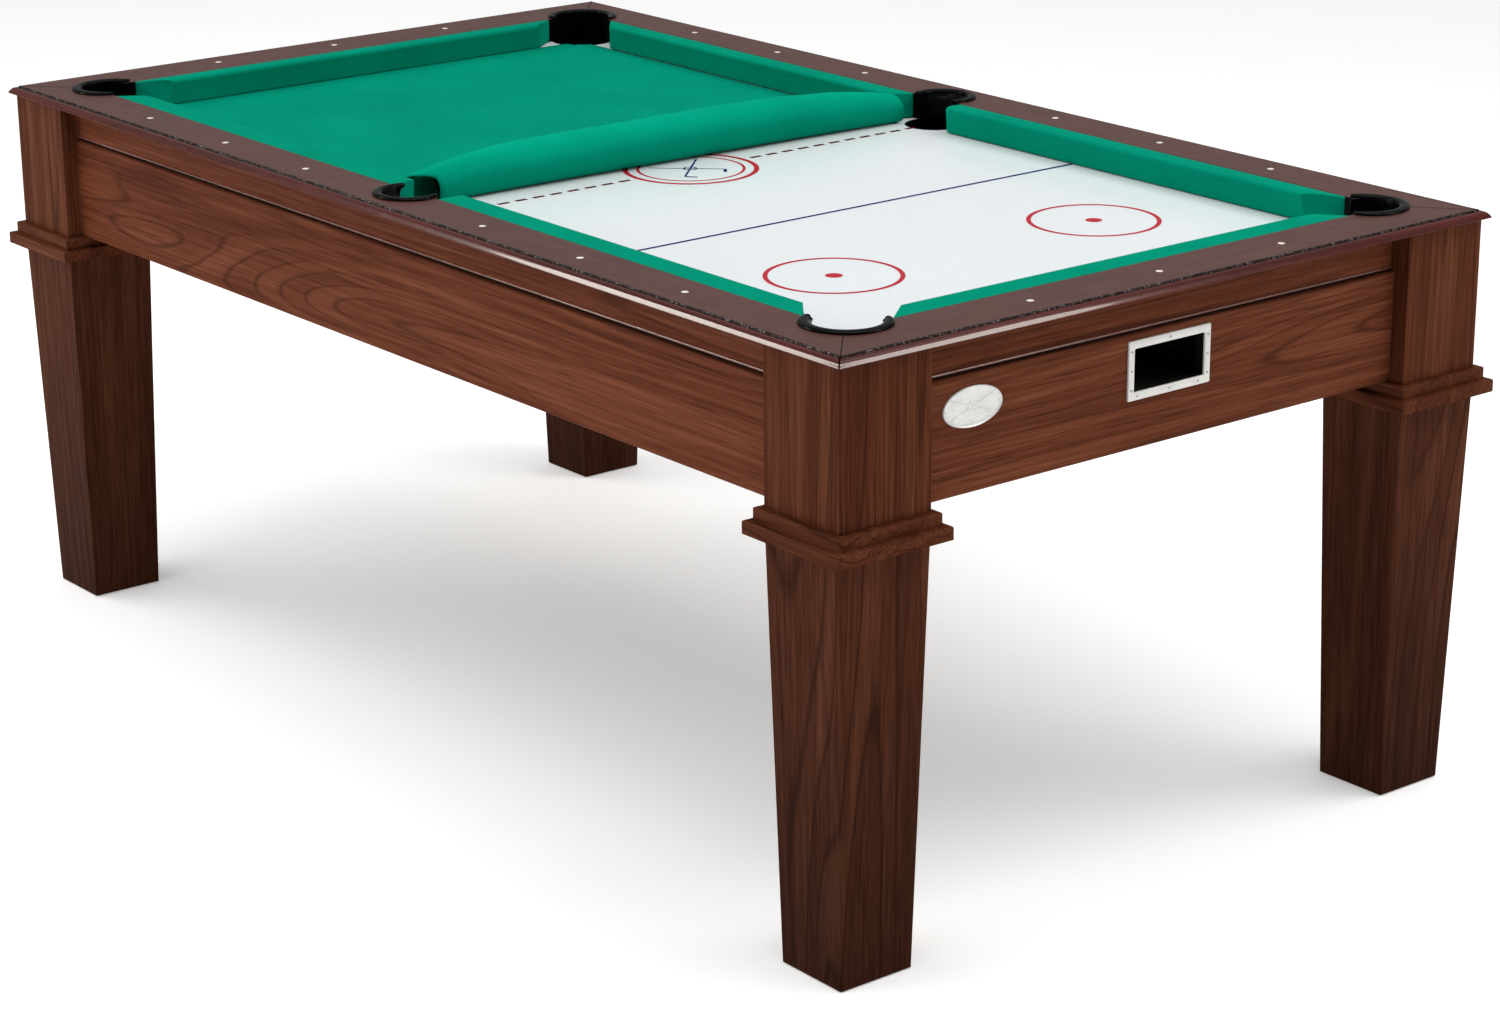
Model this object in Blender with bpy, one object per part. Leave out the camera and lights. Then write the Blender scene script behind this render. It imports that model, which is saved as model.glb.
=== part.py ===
"""Seven-foot pocket billiard table with a slide-hockey bed under a cloth mat that rolls back.

Metres, +Z up.  The foot end (ball window) faces +X, the left side faces -Y, the floor is z = 0.
"""
import math

import bmesh
import bpy
from mathutils import Vector

# ---------------------------------------------------------------- driving sizes
HALF_LENGTH = 1.046            # table centre to the outer face of the end beads
HALF_WIDTH = 0.585             # table centre to the outer face of the side beads
RAIL_TOP = 0.842               # rail tops above the floor
GAP = 0.0003                   # assembly gap between touching pieces

NOSE_X = 0.902                 # cushion nose lines
NOSE_Y = 0.450
CUSHION_DEPTH = 0.040          # nose to rail wood
BED_DROP = 0.040               # rail top down to the hockey bed
BED_THICK = 0.012
BEAD_WIDE = 0.0137
RAIL_BOARD = 0.0125            # thickness of the overhanging rail top

CORNER_POCKET = (0.919, 0.467)
CORNER_TUBE_R = 0.0524
CORNER_LIP_R = 0.0615
SIDE_LIP_Y = 0.500
SIDE_TUBE_Y = 0.484
SIDE_TUBE_R = 0.0455
SIDE_LIP_R = 0.0535
LINER_WALL = 0.003
LINER_BOTTOM = 0.780

POST_INSET = 0.010             # bead face back to post face
POST_WIDE = 0.146
POST_WALL = 0.018
POST_RETURN = 0.040
POST_FLOOR = 0.020
APRON_RECESS = 0.025           # post face back to apron face
APRON_THICK = 0.015
FASCIA_RECESS = 0.0315
FASCIA_THICK = 0.012
CABINET_BOTTOM = 0.618
APRON_TOP = 0.7735
FASCIA_BOTTOM = 0.7765
COLLAR_STEP = 0.010
COLLAR_HIGH = 0.0355
LEG_FOOT_HALF = 0.059
LEG_BOTTOM = 0.0015

WINDOW_Z = 0.725
WINDOW_SIZE = (0.148, 0.080)   # outer width and height of the window frame
WINDOW_HOLE = (0.127, 0.058)
BADGE_AT = (-0.341, 0.731)
BADGE_HALF = (0.0495, 0.0268)

TRACK_HALF = 0.0375
TRACK_WALL = 0.004
TRACK_SIDE_HIGH = 0.030
TRACK_Y = 0.470
TRACK_TURN_X = 0.905
TRACK_START_X = -0.955
TRACK_END_Y = 0.0955
TRACK_FLOOR = (0.7285, 0.7100, 0.7060)   # floor height at start, turn and end
CROSS_BOARD_X = (-0.45, 0.10, 0.55)
CROSS_BOARD_THICK = 0.015

MAT_THICK = 0.002
MAT_HALF_WIDTH = 0.4485        # lies between the cushion noses
MAT_HEAD_X = -0.9005
ROLL_HIGH_MIDDLE = 0.066
ROLL_HIGH_END = 0.042
ROLL_FRONT_X = -0.041          # front of the roll on the table's centre line
ROLL_SKEW = 0.020              # the roll lies about a degree askew
ROLL_SAG = 0.6                 # below 1 the roll's lower front is squarer than an ellipse

PAD_R = 0.020
PAD_HIGH = 0.006
STUD_R = 0.005
STUD_TOP = 0.062

BED_TOP = RAIL_TOP - BED_DROP
WOOD_X = NOSE_X + CUSHION_DEPTH
WOOD_Y = NOSE_Y + CUSHION_DEPTH
POST_X = HALF_LENGTH - POST_INSET
POST_Y = HALF_WIDTH - POST_INSET
LEG_X = POST_X - POST_WIDE / 2
LEG_Y = POST_Y - POST_WIDE / 2
RAIL_UNDER = RAIL_TOP - RAIL_BOARD

WALNUT = (0.145, 0.045, 0.024, 1)
WALNUT_DARK = (0.100, 0.030, 0.017, 1)
RAIL_BROWN = (0.165, 0.075, 0.063, 1)
MAHOGANY = (0.090, 0.012, 0.010, 1)
CLOTH_GREEN = (0.0, 0.30, 0.19, 1)
BLACK_PLASTIC = (0.012, 0.012, 0.013, 1)
BED_WHITE = (0.82, 0.86, 0.87, 1)
SILVER = (0.72, 0.72, 0.71, 1)
RAW_BOARD = (0.42, 0.30, 0.19, 1)
STEEL = (0.45, 0.45, 0.46, 1)


# ---------------------------------------------------------------- helpers
def clear_scene():
    for obj in list(bpy.data.objects):
        bpy.data.objects.remove(obj, do_unlink=True)


def material(name, colour, roughness, metallic=0.0):
    mat = bpy.data.materials.new(name)
    mat.use_nodes = True
    shader = mat.node_tree.nodes["Principled BSDF"]
    shader.inputs["Base Color"].default_value = colour
    shader.inputs["Roughness"].default_value = roughness
    shader.inputs["Metallic"].default_value = metallic
    mat.diffuse_color = colour
    return mat


def shade(mesh):
    mesh.shade_smooth()
    mesh.set_sharp_from_angle(angle=math.radians(35))


def finish_mesh(name, bm, finish, at=None):
    """Turn a bmesh into a named object with its own material, with its origin at the given point
    or at the middle of its own box."""
    bmesh.ops.remove_doubles(bm, verts=bm.verts, dist=1e-6)
    bmesh.ops.recalc_face_normals(bm, faces=bm.faces)
    if at is None:
        spans = [[v.co[axis] for v in bm.verts] for axis in range(3)]
        at = [(min(span) + max(span)) / 2 for span in spans]
    origin = Vector(at)
    bmesh.ops.translate(bm, verts=bm.verts, vec=-origin)
    mesh = bpy.data.meshes.new(name)
    bm.to_mesh(mesh)
    bm.free()
    shade(mesh)
    obj = bpy.data.objects.new(name, mesh)
    obj.location = origin
    bpy.context.scene.collection.objects.link(obj)
    colour, roughness, metallic = finish
    mesh.materials.append(material(name + "_finish", colour, roughness, metallic))
    return obj


def loft(rings, closed=False):
    """Skin a list of equal-length rings of points; cap both ends unless the loft closes on itself."""
    bm = bmesh.new()
    rows = [[bm.verts.new(point) for point in ring] for ring in rings]
    count = len(rows[0])
    pairs = list(zip(rows, rows[1:]))
    if closed:
        pairs.append((rows[-1], rows[0]))
    for low, high in pairs:
        for i in range(count):
            j = (i + 1) % count
            bm.faces.new((low[i], low[j], high[j], high[i]))
    if not closed:
        bm.faces.new(rows[0][::-1])
        bm.faces.new(rows[-1])
    return bm


def prism(outline, low, high):
    """Extrude a plan outline straight up."""
    return loft([[(x, y, z) for x, y in outline] for z in (low, high)])


def block(x0, x1, y0, y1, z0, z1):
    return prism([(x0, y0), (x1, y0), (x1, y1), (x0, y1)], z0, z1)


def soften(bm, width, segments=2, chosen=None):
    """Round the edges that pass the test, or all of them."""
    edges = [e for e in bm.edges if chosen is None or chosen(e)]
    bmesh.ops.bevel(bm, geom=edges, offset=width, segments=segments, profile=0.5, affect="EDGES")


def circle(cx, cy, radius, count):
    step = 2 * math.pi / count
    return [(cx + radius * math.cos(i * step), cy + radius * math.sin(i * step)) for i in range(count)]


def cut(obj, bm, operation="DIFFERENCE"):
    """Apply one exact Boolean with a throwaway cutter, then drop the cutter."""
    bmesh.ops.recalc_face_normals(bm, faces=bm.faces)
    mesh = bpy.data.meshes.new("cutter")
    bm.to_mesh(mesh)
    bm.free()
    cutter = bpy.data.objects.new("cutter", mesh)
    bpy.context.scene.collection.objects.link(cutter)
    cutter.hide_render = True
    cutter.display_type = "WIRE"
    mod = obj.modifiers.new("cut", "BOOLEAN")
    mod.object = cutter
    mod.operation = operation
    mod.solver = "EXACT"
    bpy.context.view_layer.update()
    graph = bpy.context.evaluated_depsgraph_get()
    result = bpy.data.meshes.new_from_object(obj.evaluated_get(graph))
    obj.modifiers.clear()
    old = obj.data
    obj.data = result
    shade(result)
    bpy.data.meshes.remove(old)
    bpy.data.objects.remove(cutter, do_unlink=True)
    bpy.data.meshes.remove(mesh)


def drum(cx, cy, radius, z0, z1, count=48):
    return prism(circle(cx, cy, radius, count), z0, z1)


SIDES = {                      # name: (runs along X?, sign of the side's own axis)
    "left": (True, -1),
    "right": (True, 1),
    "foot": (False, 1),
    "head": (False, -1),
}
CORNERS = {
    "foot_left": (1, -1),
    "foot_right": (1, 1),
    "head_left": (-1, -1),
    "head_right": (-1, 1),
}


def side_point(along_x, sign, run, out, z):
    """A point given by its run along a side and its distance out from the table centre."""
    if along_x:
        return (run, sign * out, z)
    return (sign * out, run, z)


def half_run(along_x, out):
    """How far a mitred strip on this side reaches at a distance out from the centre."""
    corner_in = (WOOD_X, WOOD_Y)
    corner_out = (HALF_LENGTH, HALF_WIDTH)
    a, b = (0, 1) if along_x else (1, 0)
    share = (out - corner_in[b]) / (corner_out[b] - corner_in[b])
    return corner_in[a] + share * (corner_out[a] - corner_in[a])


def mitred_strip(side, section):
    """Sweep a section (out, z) along a side with mitred ends, a hair short of each mitre line."""
    along_x, sign = SIDES[side]
    rings = []
    for end in (-1, 1):
        ring = []
        for out, z in section:
            run = end * (half_run(along_x, out) - GAP)
            ring.append(side_point(along_x, sign, run, out, z))
        rings.append(ring)
    return loft(rings)


# ---------------------------------------------------------------- pieces
def side_pocket_hole(sign, extra, z_low, z_high):
    """The funnel-shaped side pocket hole: straight below the rail board, leaning out above it."""
    levels = [
        (z_low, SIDE_TUBE_Y),
        (RAIL_UNDER - 0.001, SIDE_TUBE_Y),
        (RAIL_TOP + 0.0003, SIDE_LIP_Y),
        (z_high, SIDE_LIP_Y),
    ]
    rings = []
    for z, y in levels:
        ring = circle(0.0, sign * y, SIDE_TUBE_R + extra, 48)
        rings.append([(px, py, z) for px, py in ring])
    return loft(rings)


def make_playfield():
    edge_x = 0.992
    edge_y = 0.531
    board = finish_mesh("playfield_board",
                        block(-edge_x, edge_x, -edge_y, edge_y, BED_TOP - BED_THICK, BED_TOP),
                        (BED_WHITE, 0.12, 0.0))
    low = BED_TOP - 2 * BED_THICK
    high = BED_TOP + BED_THICK
    for sx, sy in CORNERS.values():
        cut(board, drum(sx * CORNER_POCKET[0], sy * CORNER_POCKET[1], CORNER_TUBE_R + 0.0016, low, high))
    for sy in (-1, 1):
        cut(board, drum(0.0, sy * SIDE_TUBE_Y, SIDE_TUBE_R + 0.0016, low, high))
        y0, y1 = sorted((sy * (SIDE_TUBE_Y + 0.020), sy * (edge_y + 0.02)))
        cut(board, block(-0.038, 0.038, y0, y1, low, high))


def make_rails():
    for side, (along_x, sign) in SIDES.items():
        wood = WOOD_Y if along_x else WOOD_X
        outer = (HALF_WIDTH if along_x else HALF_LENGTH) - BEAD_WIDE - GAP
        under = wood + CUSHION_DEPTH
        section = [
            (wood, BED_TOP + GAP),
            (under, BED_TOP + GAP),
            (under, RAIL_UNDER),
            (outer, RAIL_UNDER),
            (outer, RAIL_TOP - 0.0015),
            (outer - 0.0015, RAIL_TOP),
            (wood + 0.001, RAIL_TOP),
            (wood, RAIL_TOP - 0.001),
        ]
        rail = finish_mesh(side + "_rail", mitred_strip(side, section), (RAIL_BROWN, 0.42, 0.0))
        low = BED_TOP - 0.02
        high = RAIL_TOP + 0.02
        for sx, sy in CORNERS.values():
            touches = sy == sign if along_x else sx == sign
            if touches:
                cut(rail, drum(sx * CORNER_POCKET[0], sy * CORNER_POCKET[1], CORNER_TUBE_R + 0.0006, low, high))
        if along_x:
            cut(rail, side_pocket_hole(sign, 0.0007, low, high))


def make_beads():
    """The rounded strip that finishes each rail's outer edge."""
    for side, (along_x, sign) in SIDES.items():
        outer = HALF_WIDTH if along_x else HALF_LENGTH
        low = RAIL_UNDER
        high = RAIL_TOP - 0.0004
        inner = outer - BEAD_WIDE
        middle = (low + high) / 2
        half = (high - low) / 2
        section = [(inner, low), (outer - 0.008, low)]
        for i in range(1, 8):
            angle = math.radians(-90 + i * 180 / 8)
            section.append((outer - 0.008 + 0.008 * math.cos(angle), middle + half * math.sin(angle)))
        section += [(outer - 0.008, high), (inner + 0.003, high), (inner, high - 0.003)]
        finish_mesh(side + "_edge_bead", mitred_strip(side, section), (MAHOGANY, 0.18, 0.0))


def cushion(name, side, start, start_back, stop, stop_back):
    """A cushion between two pocket mouths; run values at the nose and at the wood for each end."""
    along_x, sign = SIDES[side]
    wood = (WOOD_Y if along_x else WOOD_X) - GAP
    depth = CUSHION_DEPTH - GAP
    profile = [                # share of the depth towards the table, drop below the rail top
        (0.0, 0.0005),
        (0.30, -0.0008),
        (0.72, -0.0022),
        (0.90, -0.0020),
        (0.985, 0.0004),
        (1.0, 0.0030),
        (0.985, 0.0070),
        (0.86, 0.019),
        (0.72, 0.036),
        (0.715, 0.0385),
        (0.0, 0.0385),
    ]
    rings = []
    for nose, back in ((start, start_back), (stop, stop_back)):
        ring = []
        for share, drop in profile:
            run = back + share * (nose - back)
            ring.append(side_point(along_x, sign, run, wood - share * depth, RAIL_TOP - drop))
        rings.append(ring)
    finish_mesh(name, loft(rings), (CLOTH_GREEN, 0.9, 0.0))


def make_cushions():
    corner_nose = 0.0865       # corner mouth: nose tips back from where the nose lines would cross
    corner_back = 0.0395
    side_nose = 0.064
    side_back = 0.0550
    for side in ("foot", "head"):
        tip = NOSE_Y - corner_nose
        back = NOSE_Y - corner_back
        cushion(side + "_cushion", side, -tip, -back, tip, back)
    tip = NOSE_X - corner_nose
    back = NOSE_X - corner_back
    for side in ("left", "right"):
        cushion(side + "_cushion_foot_half", side, side_nose, side_back, tip, back)
        cushion(side + "_cushion_head_half", side, -tip, -back, -side_nose, -side_back)


def liner_rings(levels, count=48):
    """Rings for a pocket liner: each level is (centre x, centre y, radius, z)."""
    return [[(x, y, z) for x, y in circle(cx, cy, radius, count)] for cx, cy, radius, z in levels]


def liner_levels(tube_at, lip_at, tube_r, lip_r, waist_z):
    """Go up the outside, over the rounded lip and down the inside."""
    top = RAIL_TOP
    outer = [
        (*tube_at, tube_r, LINER_BOTTOM),
        (*tube_at, tube_r, waist_z),
        (*lip_at, tube_r, top + GAP),
        (*lip_at, lip_r, top + GAP),
        (*lip_at, lip_r, top + 0.0020),
        (*lip_at, lip_r - 0.0022, top + 0.0040),
    ]
    bore = tube_r - LINER_WALL
    inner = [
        (*lip_at, bore + 0.0040, top + 0.0044),
        (*lip_at, bore + 0.0012, top + 0.0036),
        (*lip_at, bore, top + 0.0014),
        (*tube_at, bore, waist_z),
        (*tube_at, bore, LINER_BOTTOM),
    ]
    return outer + inner


def make_liners():
    finish = (BLACK_PLASTIC, 0.3, 0.0)
    mouth_low = BED_TOP - 0.0002
    mouth_high = RAIL_TOP + 0.02
    for name, (sx, sy) in CORNERS.items():
        at = (sx * CORNER_POCKET[0], sy * CORNER_POCKET[1])
        levels = liner_levels(at, at, CORNER_TUBE_R, CORNER_LIP_R, RAIL_UNDER)
        liner = finish_mesh(name + "_pocket_liner", loft(liner_rings(levels), closed=True), finish)
        reach = 0.09
        back = 0.0240          # the mouth is cut back this far on the table side of the centre
        diag = Vector((sx, sy)).normalized()
        side = Vector((-diag.y, diag.x))
        base = Vector(at) - diag * back
        outline = [
            base + side * reach,
            base - side * reach,
            base - side * reach - diag * reach,
            base + side * reach - diag * reach,
        ]
        cut(liner, prism([tuple(p) for p in outline], mouth_low, mouth_high))
    for name, sy in (("left", -1), ("right", 1)):
        tube_at = (0.0, sy * SIDE_TUBE_Y)
        lip_at = (0.0, sy * SIDE_LIP_Y)
        levels = liner_levels(tube_at, lip_at, SIDE_TUBE_R, SIDE_LIP_R, RAIL_UNDER - 0.0012)
        liner = finish_mesh(name + "_side_pocket_liner", loft(liner_rings(levels), closed=True), finish)
        y0, y1 = sorted((sy * WOOD_Y, sy * (WOOD_Y - 0.09)))
        cut(liner, block(-0.09, 0.09, y0, y1, mouth_low, mouth_high))


def make_cabinet_boards():
    """Fascia strips under the rails and deeper apron boards below them, all between the posts."""
    reach_x = POST_X - POST_WIDE - GAP
    reach_y = POST_Y - POST_WIDE - GAP
    for side, (along_x, sign) in SIDES.items():
        face = POST_Y if along_x else POST_X
        reach = reach_x if along_x else reach_y
        for kind, recess, thick, low, high in (
            ("fascia", FASCIA_RECESS, FASCIA_THICK, FASCIA_BOTTOM, RAIL_UNDER - GAP),
            ("apron", APRON_RECESS, APRON_THICK, CABINET_BOTTOM, APRON_TOP),
        ):
            outer = face - recess
            inner = outer - thick
            section = [(inner, low), (outer - 0.002, low), (outer, low + 0.002),
                       (outer, high - 0.002), (outer - 0.002, high), (inner, high)]
            rings = [[side_point(along_x, sign, end * reach, out, z) for out, z in section]
                     for end in (-1, 1)]
            board = finish_mesh(f"{side}_{kind}", loft(rings), (WALNUT, 0.38, 0.0))
            if side == "foot" and kind == "apron":
                half_w = WINDOW_HOLE[0] / 2 + 0.002
                half_h = WINDOW_HOLE[1] / 2 + 0.002
                cut(board, block(0.9, 1.1, -half_w, half_w, WINDOW_Z - half_h, WINDOW_Z + half_h))


def make_posts():
    """Angle-shaped corner posts with short returns, closed below by a floor the leg bolts to."""
    wide = POST_WIDE
    wall = POST_WALL
    ret = POST_RETURN
    angle = [(0, 0), (wide, 0), (wide, ret), (wide - wall, ret), (wide - wall, wall),
             (wall, wall), (wall, wide - wall), (ret, wide - wall), (ret, wide), (0, wide)]
    square = [(0, 0), (wide, 0), (wide, wide), (0, wide)]
    for name, (sx, sy) in CORNERS.items():
        def place(points):
            return [(sx * (POST_X - u), sy * (POST_Y - v)) for u, v in points]
        upper = prism(place(angle), CABINET_BOTTOM + POST_FLOOR / 2, RAIL_UNDER - GAP)
        soften(upper, 0.0015, 2, outer_corner_test(sx, sy))
        post = finish_mesh(name + "_corner_post", upper, (WALNUT, 0.38, 0.0))
        floor = prism(place(square), CABINET_BOTTOM, CABINET_BOTTOM + POST_FLOOR)
        soften(floor, 0.0015, 2, outer_corner_test(sx, sy))
        cut(post, floor, "UNION")


def outer_corner_test(sx, sy):
    """Pick the upright edge at the post's outermost corner."""
    def test(edge):
        a, b = (v.co for v in edge.verts)
        upright = abs(a.z - b.z) > 0.01
        outermost = min(sx * a.x, sx * b.x) > POST_X - 1e-5 and min(sy * a.y, sy * b.y) > POST_Y - 1e-5
        return upright and outermost
    return test


def square_ring(cx, cy, half, z):
    return [(cx - half, cy - half, z), (cx + half, cy - half, z),
            (cx + half, cy + half, z), (cx - half, cy + half, z)]


def make_collars_and_legs():
    half = POST_WIDE / 2
    top = CABINET_BOTTOM - GAP
    step_z = top - COLLAR_HIGH / 2
    low = top - COLLAR_HIGH
    ease = 0.0015
    for name, (sx, sy) in CORNERS.items():
        cx, cy = sx * LEG_X, sy * LEG_Y
        collar = [
            (half + 2 * COLLAR_STEP, low),
            (half + 2 * COLLAR_STEP, step_z - ease),
            (half + 2 * COLLAR_STEP - ease, step_z),
            (half + COLLAR_STEP, step_z),
            (half + COLLAR_STEP, top - ease),
            (half + COLLAR_STEP - ease, top),
        ]
        finish_mesh(name + "_leg_collar", loft([square_ring(cx, cy, h, z) for h, z in collar]),
                    (WALNUT_DARK, 0.36, 0.0))
        bm = loft([square_ring(cx, cy, LEG_FOOT_HALF, LEG_BOTTOM), square_ring(cx, cy, half, low - GAP)])
        soften(bm, 0.002, 2, lambda e: abs(e.verts[0].co.z - e.verts[1].co.z) > 0.01)
        leg = finish_mesh(name + "_leg", bm, (WALNUT_DARK, 0.36, 0.0))
        cut(leg, drum(cx, cy, STUD_R + 0.0007, 0.004, STUD_TOP + 0.004, 24))
        cut(leg, drum(cx, cy, PAD_R + 0.002, -0.01, PAD_HIGH + 0.0015, 32))


def make_levellers():
    for name, (sx, sy) in CORNERS.items():
        cx, cy = sx * LEG_X, sy * LEG_Y
        levels = [(PAD_R - 0.001, 0.0), (PAD_R, 0.001), (PAD_R, PAD_HIGH - 0.001), (PAD_R - 0.001, PAD_HIGH)]
        finish_mesh(name + "_leveller_pad",
                    loft([[(x, y, z) for x, y in circle(cx, cy, r, 32)] for r, z in levels]),
                    (BLACK_PLASTIC, 0.5, 0.0), (cx, cy, 0.0))
        levels = [(0.0042, PAD_HIGH + GAP), (STUD_R, PAD_HIGH + 0.0012), (STUD_R, STUD_TOP - 0.001),
                  (0.0042, STUD_TOP)]
        finish_mesh(name + "_leveller_stud",
                    loft([[(x, y, z) for x, y in circle(cx, cy, r, 20)] for r, z in levels]),
                    (STEEL, 0.3, 1.0), (cx, cy, PAD_HIGH))


def track_floor(x):
    """Floor height of the long run of a ball track."""
    share = (x - TRACK_START_X) / (TRACK_TURN_X - TRACK_START_X)
    return TRACK_FLOOR[0] + share * (TRACK_FLOOR[1] - TRACK_FLOOR[0])


def make_ball_tracks():
    """Open channels that carry dropped balls down to the box at the foot end."""
    out = TRACK_HALF
    inn = TRACK_HALF - TRACK_WALL
    section = [(-out, -TRACK_WALL), (out, -TRACK_WALL), (out, TRACK_SIDE_HIGH), (inn, TRACK_SIDE_HIGH),
               (inn, 0.0), (-inn, 0.0), (-inn, TRACK_SIDE_HIGH), (-out, TRACK_SIDE_HIGH)]
    for name, sy in (("left", -1), ("right", 1)):
        start = [(TRACK_START_X, sy * (TRACK_Y - w), TRACK_FLOOR[0] + z) for w, z in section]
        turn = [(TRACK_TURN_X - w, sy * (TRACK_Y - w), TRACK_FLOOR[1] + z) for w, z in section]
        end = [(TRACK_TURN_X - w, sy * TRACK_END_Y, TRACK_FLOOR[2] + z) for w, z in section]
        finish_mesh(name + "_ball_track", loft([start, turn, end]), (BLACK_PLASTIC, 0.5, 0.0))


def make_cross_boards():
    reach = POST_Y - APRON_RECESS - APRON_THICK - 0.0005
    low = CABINET_BOTTOM + 0.022
    high = BED_TOP - BED_THICK - GAP
    notch = TRACK_HALF + 0.005
    for name, x in zip(("head", "middle", "foot"), CROSS_BOARD_X):
        half = CROSS_BOARD_THICK / 2
        reach_here = POST_Y - FASCIA_RECESS - FASCIA_THICK - 0.0005
        rings = []
        for px in (x - half, x + half):
            floor = track_floor(x) - TRACK_WALL - 0.0006
            outline = [(-reach, low), (reach, low), (reach, APRON_TOP - 0.002), (reach_here, APRON_TOP - 0.002),
                       (reach_here, high), (TRACK_Y + notch, high), (TRACK_Y + notch, floor),
                       (TRACK_Y - notch, floor), (TRACK_Y - notch, high)]
            left = [(-y, z) for y, z in outline[8:1:-1]]
            rings.append([(px, y, z) for y, z in outline + left])
        finish_mesh(name + "_cross_board", loft(rings), (RAW_BOARD, 0.7, 0.0))


def make_ball_box():
    inner_face = POST_X - APRON_RECESS - APRON_THICK - GAP
    back = 0.845
    wall = 0.008
    half = 0.090
    floor = 0.680
    top = 0.760
    box = finish_mesh("ball_box", block(back, inner_face, -half, half, floor, top), (BLACK_PLASTIC, 0.55, 0.0))
    cut(box, block(back + wall, inner_face + 0.05, -half + wall, half - wall, floor + wall, top + 0.05))
    entry = TRACK_HALF + 0.0015
    cut(box, block(TRACK_TURN_X - entry, TRACK_TURN_X + entry, -half - 0.02, half + 0.02,
                   TRACK_FLOOR[2] - TRACK_WALL - 0.001, top + 0.05))


def make_window_frame():
    """Flat metal frame round the ball window."""
    face = POST_X - APRON_RECESS + GAP
    proud = 0.003
    half_w, half_h = WINDOW_SIZE[0] / 2, WINDOW_SIZE[1] / 2
    bm = block(face, face + proud, -half_w, half_w, WINDOW_Z - half_h, WINDOW_Z + half_h)
    soften(bm, 0.001, 2, lambda e: min(v.co.x for v in e.verts) > face + proud - 1e-5)
    frame = finish_mesh("ball_window_frame", bm, (SILVER, 0.35, 0.9))
    half_w, half_h = WINDOW_HOLE[0] / 2, WINDOW_HOLE[1] / 2
    cut(frame, block(0.9, 1.1, -half_w, half_w, WINDOW_Z - half_h, WINDOW_Z + half_h))


def make_badge():
    face = POST_X - APRON_RECESS + GAP
    levels = [(1.0, 0.0), (1.0, 0.0014), (0.97, 0.0024)]
    rings = []
    for share, out in levels:
        ring = circle(0.0, 0.0, 1.0, 48)
        rings.append([(face + out, BADGE_AT[0] + a * BADGE_HALF[0] * share,
                       BADGE_AT[1] + b * BADGE_HALF[1] * share) for a, b in ring])
    finish_mesh("oval_badge", loft(rings), (SILVER, 0.4, 0.9))


def roll_height(y):
    """The roll is fullest in the middle and is squeezed towards both side pockets."""
    share = min(1.0, abs(y) / MAT_HALF_WIDTH)
    return ROLL_HIGH_END + (ROLL_HIGH_MIDDLE - ROLL_HIGH_END) * (1.0 - share ** 4)


def make_mat():
    low = BED_TOP + GAP
    ramp = 0.055
    stations = 17
    flat_edge_x = -0.25
    rings = []
    for k in range(stations):
        y = MAT_HALF_WIDTH * (2 * k / (stations - 1) - 1)
        high = roll_height(y)
        half = 0.6 * high
        cx = ROLL_FRONT_X + ROLL_SKEW * y - half
        cz = low + high / 2
        ring = [(flat_edge_x, y, low)]
        for degrees in range(-90, 151, 15):
            angle = math.radians(degrees)
            across, up = math.cos(angle), math.sin(angle)
            if degrees < 0:
                across, up = max(0.0, across) ** ROLL_SAG, -abs(up) ** ROLL_SAG
            ring.append((cx + half * across, y, cz + high / 2 * up))
        start_x, _, start_z = ring[-1]
        for share in (0.25, 0.5, 0.75, 1.0):
            fall = (1 - share) ** 2
            ring.append((start_x - ramp * share, y, low + MAT_THICK + (start_z - low - MAT_THICK) * fall))
        ring.append((flat_edge_x, y, low + MAT_THICK))
        rings.append(ring)
    mat = finish_mesh("cloth_mat", loft(rings), (CLOTH_GREEN, 0.95, 0.0), (0.0, 0.0, low))
    cut(mat, block(MAT_HEAD_X, flat_edge_x + 0.02, -MAT_HALF_WIDTH, MAT_HALF_WIDTH, low, low + MAT_THICK),
        "UNION")
    for sy in (-1, 1):
        cut(mat, drum(-CORNER_POCKET[0], sy * CORNER_POCKET[1], CORNER_TUBE_R + 0.004, low - 0.01, low + 0.02))


def main():
    clear_scene()
    make_playfield()
    make_rails()
    make_beads()
    make_cushions()
    make_liners()
    make_cabinet_boards()
    make_posts()
    make_collars_and_legs()
    make_levellers()
    make_ball_tracks()
    make_cross_boards()
    make_ball_box()
    make_window_frame()
    make_badge()
    make_mat()


main()
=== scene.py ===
"""Seven-foot pool table with a printed slide-hockey bed and a cloth mat rolled back to its middle.

Metres, +Z up.  The foot end (ball window) faces +X and the left side faces -Y.
"""
import math
import random

import bmesh
import bpy
from mathutils import Matrix, Vector, noise


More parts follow.
